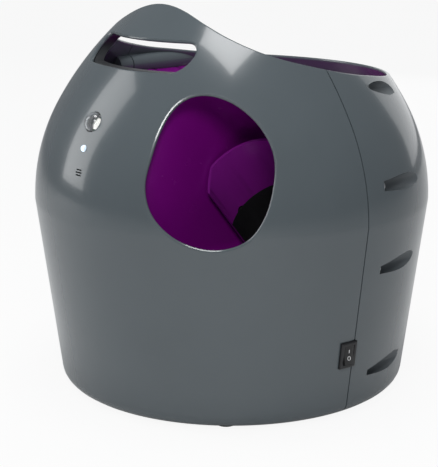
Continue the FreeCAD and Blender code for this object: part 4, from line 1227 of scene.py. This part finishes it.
@dataclass
class Launcher:
    """Tilting ball barrel, its hood and the launch spring, made upright on the pivot and then leaned back."""

    pivot: Point = (0.0953, -0.046, 0.155)
    lean: float = 40.0
    outer: float = 0.0375
    bore: float = 0.035
    spigot: float = 0.0362
    back: float = -0.121
    back_wall: float = 0.0025
    back_hole: float = 0.017
    hood_back: float = -0.028
    step: float = 0.002
    hood_front: float = 0.0485
    hood_side: float = -0.0145
    hood_edge: float = 0.024
    hood_edge_start: float = 0.008
    corner: Flat = (0.0165, 0.011)
    spare: float = 0.1
    inlet: float = 0.034
    inlet_reach: float = 0.005
    seat: float = -0.045
    pad: float = 0.008
    pad_in: float = 0.03
    pad_out: float = 0.0007
    socket: float = 0.02
    pin: float = 0.004
    rack_slot: Triple = (0.0042, -0.029, -0.077)
    eye: Triple = (0.0026, -0.010, -0.055)
    eye_run: Flat = (0.03, 0.042)
    spring_radius: float = 0.014
    wire: float = 0.0011
    spring: Flat = (-0.1458, -0.0863)
    turns: int = 7
    turn_steps: int = 24
    close_ends: float = 0.75
    squeezed: float = 0.45
    segments: int = 128
    edge: float = 0.0005

    def placement(self) -> Matrix:
        """Frame on the pivot whose Z runs along the barrel."""
        return Matrix.Translation(self.pivot) @ Matrix.Rotation(math.radians(self.lean), 4, "X")

    def turned(self, name: str, section: list[Flat]) -> bpy.types.Object:
        """Turn a closed section once round the barrel's axis.

        Args:
            name: Name of the new piece.
            section: Corners (radius, height).

        Returns:
            The turned piece.
        """
        piece = Modeller.trace(name, [(r, 0.0, z) for r, z in section])
        Modeller.spin(piece, self.segments)
        return piece

    def ball_inlet(self) -> bpy.types.Object:
        """Make the tool for the hole that the ball falls through."""
        return Modeller.rod("inlet", self.inlet, (0.0, 0.0, self.seat),
                            (0.0, self.outer + self.inlet_reach, self.seat), self.segments)

    def finish(self, piece: bpy.types.Object, material: bpy.types.Material, node: str) -> None:
        """Round a piece's edges, lean it back into place and dress it.

        Args:
            piece: The piece, upright on the pivot.
            material: Its material.
            node: CAD node that it stands for.
        """
        Modeller.round_edges(piece, self.edge, 2)
        Modeller.settle(piece, self.placement())
        Modeller.smooth(piece)
        Modeller.hand_over(piece, material, "launcher", node)

    def build_barrel(self, material: bpy.types.Material) -> None:
        """Build the ball barrel.

        Args:
            material: Its material.
        """
        floor = self.back + self.back_wall
        barrel = self.turned("launch_barrel_tube", [
            (self.back_hole, self.back), (self.outer, self.back), (self.outer, self.hood_back),
            (self.spigot, self.hood_back), (self.spigot, self.step), (self.bore, self.step),
            (self.bore, floor), (self.back_hole, floor)])
        half_slot, slot_in, slot_end = self.rack_slot
        radius, across, along = self.eye
        eye_in, eye_out = self.eye_run
        far = 2.0 * self.outer
        tools = [Modeller.block("below", (-far, -far, self.hood_back), (far, self.hood_side, far)),
                 Modeller.block("slot", (-far, -half_slot, floor), (slot_in, half_slot, slot_end)),
                 self.ball_inlet()]
        tools += [Modeller.rod("eye", radius, (side * eye_in, across, along), (side * eye_out, across, along))
                  for side in (-1.0, 1.0)]
        for tool in tools:
            Modeller.carve(barrel, tool)
        self.finish(barrel, material, "launch_barrel")

    def build_hood(self, material: bpy.types.Material) -> None:
        """Build the hood with its socket and pivot pads.

        Args:
            material: Its material.
        """
        far = 2.0 * self.outer
        reach = self.outer + self.pad_out
        hood = self.turned("muzzle_hood_shell", [
            (self.spigot, self.hood_back), (self.outer, self.hood_back), (self.outer, self.hood_front),
            (self.bore, self.hood_front), (self.bore, self.step), (self.spigot, self.step)])
        for side in (-1.0, 1.0):
            pad = Modeller.rod("pad", self.pad, (side * self.pad_in, 0.0, 0.0), (side * reach, 0.0, 0.0))
            inside = Modeller.rod("socket", (self.spigot + self.outer) / 2.0, (0.0, 0.0, -self.socket),
                                  (0.0, 0.0, self.socket), self.segments)
            Modeller.carve(pad, inside)
            Modeller.carve(hood, pad, "UNION")
        cut_out, cut_back = self.corner
        long, spare = 1.0 + self.spare, self.spare
        low, high = self.hood_side - spare * cut_out, self.hood_side + long * cut_out
        near, front = self.hood_front - long * cut_back, self.hood_front + spare * cut_back
        nose = Modeller.prism("corner", [(-far, high, front), (-far, low, near), (-far, low, front)],
                              (2.0 * far, 0.0, 0.0))
        tools = [Modeller.block("below", (-far, -far, -far), (far, self.hood_side, far)),
                 Modeller.block("flank", (self.hood_edge, -far, self.hood_edge_start), (far, far, far)),
                 self.ball_inlet(), nose, Modeller.rod("pins", self.pin, (-far, 0.0, 0.0), (far, 0.0, 0.0))]
        for tool in tools:
            Modeller.carve(hood, tool)
        self.finish(hood, material, "muzzle_hood")

    def build_spring(self, material: bpy.types.Material) -> None:
        """Wind the launch spring, whose end turns lie close.

        Args:
            material: Its material.
        """
        low, high = self.spring[0] + self.wire, self.spring[1] - self.wire
        steps = self.turn_steps * self.turns
        path: list[Point] = []
        for step in range(steps + 1):
            share = step / steps
            rise = share - math.sin(2.0 * math.pi * share) / (2.0 * math.pi) * self.close_ends
            angle = 2.0 * math.pi * self.turns * share
            path.append((self.spring_radius * math.cos(angle), self.spring_radius * math.sin(angle),
                         low + (high - low) * rise))
        spring = Modeller.bead("launch_spring_coil", path, self.wire, False)
        spring.name = "launch_spring_coil"
        place = self.placement()
        Modeller.settle(spring, place)
        Modeller.smooth(spring)
        Modeller.hand_over(spring, material, "launcher", "launch_spring")
        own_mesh(spring)

    def build(self) -> None:
        """Build the barrel, the hood and the spring."""
        self.build_barrel(BARREL.material())
        self.build_hood(HOOD_PURPLE_AND_SHEEN.material())
        self.build_spring(SPRING.material())


@dataclass
class LaunchBay:
    """Moulded pocket behind the opening, with softly rounded corners."""

    across: Flat = (0.056, 0.136)
    wall: float = 0.0025
    floor: float = 0.118
    top: Flat = (-0.078, 0.2575)
    back: float = -0.028
    back_top: float = 0.214
    back_bottom: float = 0.1935
    floor_back: float = -0.068
    front: float = -0.2
    behind: float = 0.01
    rounding: float = 0.014
    facets: int = 6
    skin: float = 0.001
    boss: Flat = (0.009, 0.004)
    bush: float = 0.006
    bush_reach: float = 0.2
    pivot: Flat = (-0.046, 0.155)
    handle_low: Point = (0.05, -0.15, 0.2568)
    handle_high: Point = (0.0763, -0.046, 0.262)

    def block(self, grow: float) -> bpy.types.Object:
        """Make the bay's solid shape with rounded corners.

        Args:
            grow: Distance outside the bay's inner faces.

        Returns:
            The solid.
        """
        low, high = self.across[0] - grow, self.across[1] + grow
        profile = [(self.front, self.floor - grow), (self.front, self.top[1] + grow),
                   (self.top[0], self.top[1] + grow), (self.back + grow, self.back_top + grow),
                   (self.back + grow, self.floor - grow)]
        solid = Modeller.prism("bay_block", [(low, y, z) for y, z in profile], (high - low, 0.0, 0.0))
        Modeller.round_edges(solid, self.rounding + grow, self.facets)
        return solid

    def build(self, material: bpy.types.Material) -> None:
        """Build the bay.

        Args:
            material: Its material.
        """
        casing = Casing()
        bay = self.block(self.wall)
        bay.name = "launch_bay_moulding"
        Modeller.carve(bay, self.block(0.0))
        low, high = self.across
        y, z = self.pivot
        radius, length = self.boss
        for start, end in ((low - self.wall - length, low - self.skin),
                           (high + self.skin, high + self.wall + length)):
            Modeller.carve(bay, Modeller.rod("boss", radius, (start, y, z), (end, y, z)), "UNION")
        open_from = self.back - self.rounding - self.wall
        back_end = (high, self.behind, self.back_bottom)
        floor_end = (high, self.behind, self.floor + self.skin)
        for tool in (Modeller.block("below_back", (low, open_from, 0.0), back_end),
                     Modeller.block("behind_floor", (low, self.floor_back, 0.0), floor_end),
                     Modeller.block("handle", self.handle_low, self.handle_high),
                     Modeller.rod("bushes", self.bush, (0.0, y, z), (self.bush_reach, y, z))):
            Modeller.carve(bay, tool)
        Modeller.carve(bay, casing.core(), "INTERSECT")
        Modeller.carve(bay, casing.rim_tool())
        Modeller.smooth(bay)
        Modeller.hand_over(bay, material, "housing", "launch_bay")


@dataclass
class Hopper:
    """Purple bowl under the top opening, its edge a little below the casing's rim."""

    drop: float = 0.009
    reach: float = 0.012
    wall_share: float = 1.05

    def above(self, casing: Casing) -> bpy.types.Object:
        """Make the solid that trims the bowl's edge, level across the wall.

        Args:
            casing: The casing round the bowl.

        Returns:
            The trimming solid.
        """
        points, _ = casing.rim_edge(casing.wall / 2.0)
        rings: list[list[Vector]] = []
        for offset in (-self.reach, self.reach):
            outward = [Vector((p.x, p.y, 0.0)).normalized() * offset for p in points]
            rings.append([p + out - Vector((0.0, 0.0, self.drop)) for p, out in zip(points, outward)])
        return Modeller.loft("bowl_tool", [*rings, [Vector((p.x, p.y, casing.headroom)) for p in rings[-1]]])

    def build(self, material: bpy.types.Material) -> None:
        """Build the bowl.

        Args:
            material: Its material.
        """
        casing = Casing()
        bowl = Modeller.from_frame("hopper_bowl", "hopper_bowl_moulding")
        Modeller.carve(bowl, casing.core(self.wall_share), "INTERSECT")
        Modeller.carve(bowl, self.above(casing))
        Modeller.smooth(bowl)
        Modeller.hand_over(bowl, material, "housing", "hopper_bowl")


# ---------------------------------------------------------------- switch and dial


@dataclass
class Controls:
    """The power switch with its marks, and the ticks round the distance dial."""

    switch: Flat = (83.3, 0.054)
    rounding: float = 0.0003
    throw: float = 16.0
    face: float = 0.00334
    mark: float = 0.0032
    mark_reach: float = 0.0014
    mark_root: float = 0.0003
    mark_proud: float = 0.0001
    ring_sunk: float = 0.0002
    ring_sides: tuple[int, int] = (48, 8)
    stroke: float = 0.00035
    depth: float = -0.0016
    dial: Flat = (180.0, 0.205)
    tick_radius: float = 0.0235
    tick: Triple = (0.0005, 0.0017, 0.0004)
    tick_root: float = -0.003
    ticks: int = 9
    sweep: float = 240.0

    def refine(self, node: str, name: str, material: bpy.types.Material, body: str) -> None:
        """Round the edges of a switch piece.

        Args:
            node: Its CAD node.
            name: Name of the refined piece.
            material: Its material.
            body: Body that it moves with.
        """
        piece = Modeller.from_frame(node, name)
        Modeller.round_edges(piece, self.rounding, 2)
        Modeller.smooth(piece)
        Modeller.hand_over(piece, material, body, node)

    def build_marks(self, material: bpy.types.Material, place: Matrix) -> None:
        """Build the ON and OFF marks on the rocker's two faces.

        Args:
            material: Their material.
            place: Placement of the switch on the wall.
        """
        tilt = math.radians(self.throw / 2.0)
        rocker = place @ Matrix.Translation((0.0, 0.0, self.depth)) @ Matrix.Rotation(-tilt, 4, "X")
        low, high = self.mark - self.mark_reach, self.mark + self.mark_reach
        bar = Modeller.block("switch_mark_on", (-self.stroke, low, self.face - self.mark_root),
                             (self.stroke, high, self.face + self.mark_proud))
        Modeller.settle(bar, rocker @ Matrix.Rotation(tilt, 4, "X"))
        bpy.ops.object.select_all(action="DESELECT")
        around, across = self.ring_sides
        bpy.ops.mesh.primitive_torus_add(major_radius=self.mark_reach, minor_radius=self.stroke,
                                         major_segments=around, minor_segments=across,
                                         location=(0.0, -self.mark, self.face - self.ring_sunk))
        ring = bpy.context.object
        ring.name = "switch_mark_off"
        bpy.ops.object.transform_apply(location=True, rotation=True, scale=True)
        Modeller.settle(ring, rocker @ Matrix.Rotation(-tilt, 4, "X"))
        for piece in (bar, ring):
            Modeller.smooth(piece)
            Modeller.hand_over(piece, material, "power_rocker")

    def build_ticks(self, material: bpy.types.Material, place: Matrix) -> None:
        """Build the ticks round the dial.

        Args:
            material: Their material.
            place: Placement of the dial on the wall.
        """
        half_width, half_length, height = self.tick
        low, high = self.tick_radius - half_length, self.tick_radius + half_length
        ticks = []
        for number in range(self.ticks):
            turn = math.radians(self.sweep * (number / (self.ticks - 1) - 0.5))
            tick = Modeller.block("tick", (-half_width, low, self.tick_root), (half_width, high, height))
            ticks.append(Modeller.settle(tick, place @ Matrix.Rotation(turn, 4, "Z")))
        scale = Modeller.join("dial_ticks", ticks)
        Modeller.smooth(scale)
        Modeller.hand_over(scale, material, "housing")

    def build(self) -> None:
        """Build the switch, its marks and the dial's ticks."""
        self.refine("switch_housing", "switch_bezel", BLACK.material(), "housing")
        self.refine("power_rocker", "switch_rocker", ROCKER.material(), "power_rocker")
        casing = Casing()
        white = MARKING.material()
        self.build_marks(white, casing.placement(*self.switch))
        self.build_ticks(white, casing.placement(*self.dial))


# ---------------------------------------------------------------- the studio


@dataclass(frozen=True)
class Lamp:
    """Rectangular soft light aimed at the object: angles in degrees, metres and watts."""

    name: str
    azimuth: float
    elevation: float
    distance: float
    size: Flat
    power: float
    turn: float = 0.0


@dataclass
class Studio:
    """Camera, floor, backdrop and soft lights."""

    azimuth: float = 47.0
    elevation: float = 12.22
    distance: float = 1.1245
    target: Point = (0.0, 0.0, 0.168)
    middle: Point = (0.0, 0.0, 0.17)
    focal_px: float = 1371.1
    image: tuple[int, int] = (438, 467)
    centre_px: Flat = (231.7, 173.3)
    sensor: float = 36.0
    nearest: float = 0.05
    floor_size: float = 14.0
    floor_height: float = -0.0005
    floor_grey: float = 0.86
    floor_roughness: float = 0.7
    floor_white: float = 0.92
    room: Triple = (0.9, 0.95, 1.0)
    room_light: float = 0.22
    lamps: tuple[Lamp, ...] = (
        Lamp("overhead", azimuth=47.0, elevation=82.0, distance=1.2, size=(0.5, 0.5), power=6.0, turn=45.0),
        Lamp("front_right", azimuth=42.0, elevation=36.0, distance=1.2, size=(0.3, 0.3), power=4.5),
        Lamp("left", azimuth=-52.0, elevation=22.0, distance=1.6, size=(0.6, 1.3), power=6.0),
        Lamp("behind", azimuth=200.0, elevation=20.0, distance=1.6, size=(1.8, 1.3), power=6.0))

    def direction(self, azimuth: float, elevation: float) -> Vector:
        """Unit vector from the object towards a viewpoint.

        Args:
            azimuth: Degrees from the front towards +X.
            elevation: Degrees above the floor.

        Returns:
            The unit vector.
        """
        turn, rise = math.radians(azimuth), math.radians(elevation)
        return Vector((math.sin(turn) * math.cos(rise), -math.cos(turn) * math.cos(rise), math.sin(rise)))

    def camera(self) -> None:
        """Set up the camera."""
        data = bpy.data.cameras.new("camera")
        data.sensor_width = self.sensor
        longest = max(self.image)
        data.lens = self.focal_px / longest * data.sensor_width
        data.shift_x = (self.image[0] / 2 - self.centre_px[0]) / longest
        data.shift_y = (self.centre_px[1] - self.image[1] / 2) / longest
        data.clip_start = self.nearest
        camera = bpy.data.objects.new("camera", data)
        bpy.context.scene.collection.objects.link(camera)
        away = self.direction(self.azimuth, self.elevation)
        camera.location = Vector(self.target) + away * self.distance
        camera.rotation_euler = away.to_track_quat("Z", "Y").to_euler()
        bpy.context.scene.camera = camera

    def hang(self, lamp: Lamp) -> None:
        """Add a lamp aimed at the object's middle.

        Args:
            lamp: The lamp.
        """
        data = bpy.data.lights.new(lamp.name, "AREA")
        data.shape = "RECTANGLE"
        data.size, data.size_y = lamp.size
        data.energy = lamp.power
        light = bpy.data.objects.new(lamp.name, data)
        bpy.context.scene.collection.objects.link(light)
        away = self.direction(lamp.azimuth, lamp.elevation)
        light.location = Vector(self.middle) + away * lamp.distance
        facing = away.to_track_quat("Z", "Y").to_matrix() @ Matrix.Rotation(math.radians(lamp.turn), 3, "Z")
        light.rotation_euler = facing.to_euler()
        light.visible_camera = False

    def floor(self) -> None:
        """Lay the plain pale floor."""
        bpy.ops.mesh.primitive_plane_add(size=self.floor_size, location=(0.0, 0.0, self.floor_height))
        floor = bpy.context.object
        floor.name = "floor"
        material, tree, shader = new_material("studio_floor")
        shader.inputs["Roughness"].default_value = self.floor_roughness
        shader.inputs["Base Color"].default_value = (self.floor_grey, self.floor_grey, self.floor_grey, 1.0)
        path = tree.nodes.new("ShaderNodeLightPath")
        white = tree.nodes.new("ShaderNodeEmission")
        white.inputs["Color"].default_value = (1.0, 1.0, 1.0, 1.0)
        mixer = tree.nodes.new("ShaderNodeMixShader")
        amount = tree.nodes.new("ShaderNodeMath")
        amount.operation = "MULTIPLY"
        amount.inputs[1].default_value = self.floor_white
        tree.links.new(path.outputs["Is Camera Ray"], amount.inputs[0])
        tree.links.new(amount.outputs["Value"], mixer.inputs["Fac"])
        tree.links.new(shader.outputs["BSDF"], mixer.inputs[1])
        tree.links.new(white.outputs["Emission"], mixer.inputs[2])
        output = next(node for node in tree.nodes if node.type == "OUTPUT_MATERIAL")
        tree.links.new(mixer.outputs["Shader"], output.inputs["Surface"])
        floor.data.materials.append(material)

    def world(self) -> None:
        """Light the room evenly, with a white background for the camera."""
        world = bpy.data.worlds.new("studio")
        world.use_nodes = True
        tree = world.node_tree
        ambient = next(node for node in tree.nodes if node.type == "BACKGROUND")
        ambient.inputs["Color"].default_value = (*self.room, 1.0)
        ambient.inputs["Strength"].default_value = self.room_light
        white = tree.nodes.new("ShaderNodeBackground")
        white.inputs["Color"].default_value = (1.0, 1.0, 1.0, 1.0)
        white.inputs["Strength"].default_value = 1.0
        path = tree.nodes.new("ShaderNodeLightPath")
        mixer = tree.nodes.new("ShaderNodeMixShader")
        output = next(node for node in tree.nodes if node.type == "OUTPUT_WORLD")
        tree.links.new(path.outputs["Is Camera Ray"], mixer.inputs["Fac"])
        tree.links.new(ambient.outputs["Background"], mixer.inputs[1])
        tree.links.new(white.outputs["Background"], mixer.inputs[2])
        tree.links.new(mixer.outputs["Shader"], output.inputs["Surface"])
        bpy.context.scene.world = world

    def build(self) -> None:
        """Set up the whole studio."""
        bpy.context.scene.view_settings.view_transform = "Standard"
        self.camera()
        self.floor()
        self.world()
        for lamp in self.lamps:
            self.hang(lamp)
        log.info("studio ready")


def dress_frame() -> None:
    """Give every CAD node its finish."""
    made: dict[str, bpy.types.Material] = {}
    for name, node in frame["nodes"].items():
        finish = NODE_FINISHES[name]
        if finish.name not in made:
            made[finish.name] = finish.material()
        node.data.materials.clear()
        node.data.materials.append(made[finish.name])
        log.info("dressed %s with %s", name, finish.name)


def main() -> None:
    """Build and dress the whole launcher."""
    logging.basicConfig(level=logging.INFO, format="%(message)s")
    Studio().build()
    dress_frame()
    Casing().build(CASING.material())
    Hopper().build(PURPLE.material())
    LaunchBay().build(PURPLE.material())
    Launcher().build()
    Controls().build()


if __name__ == "__main__":
    main()
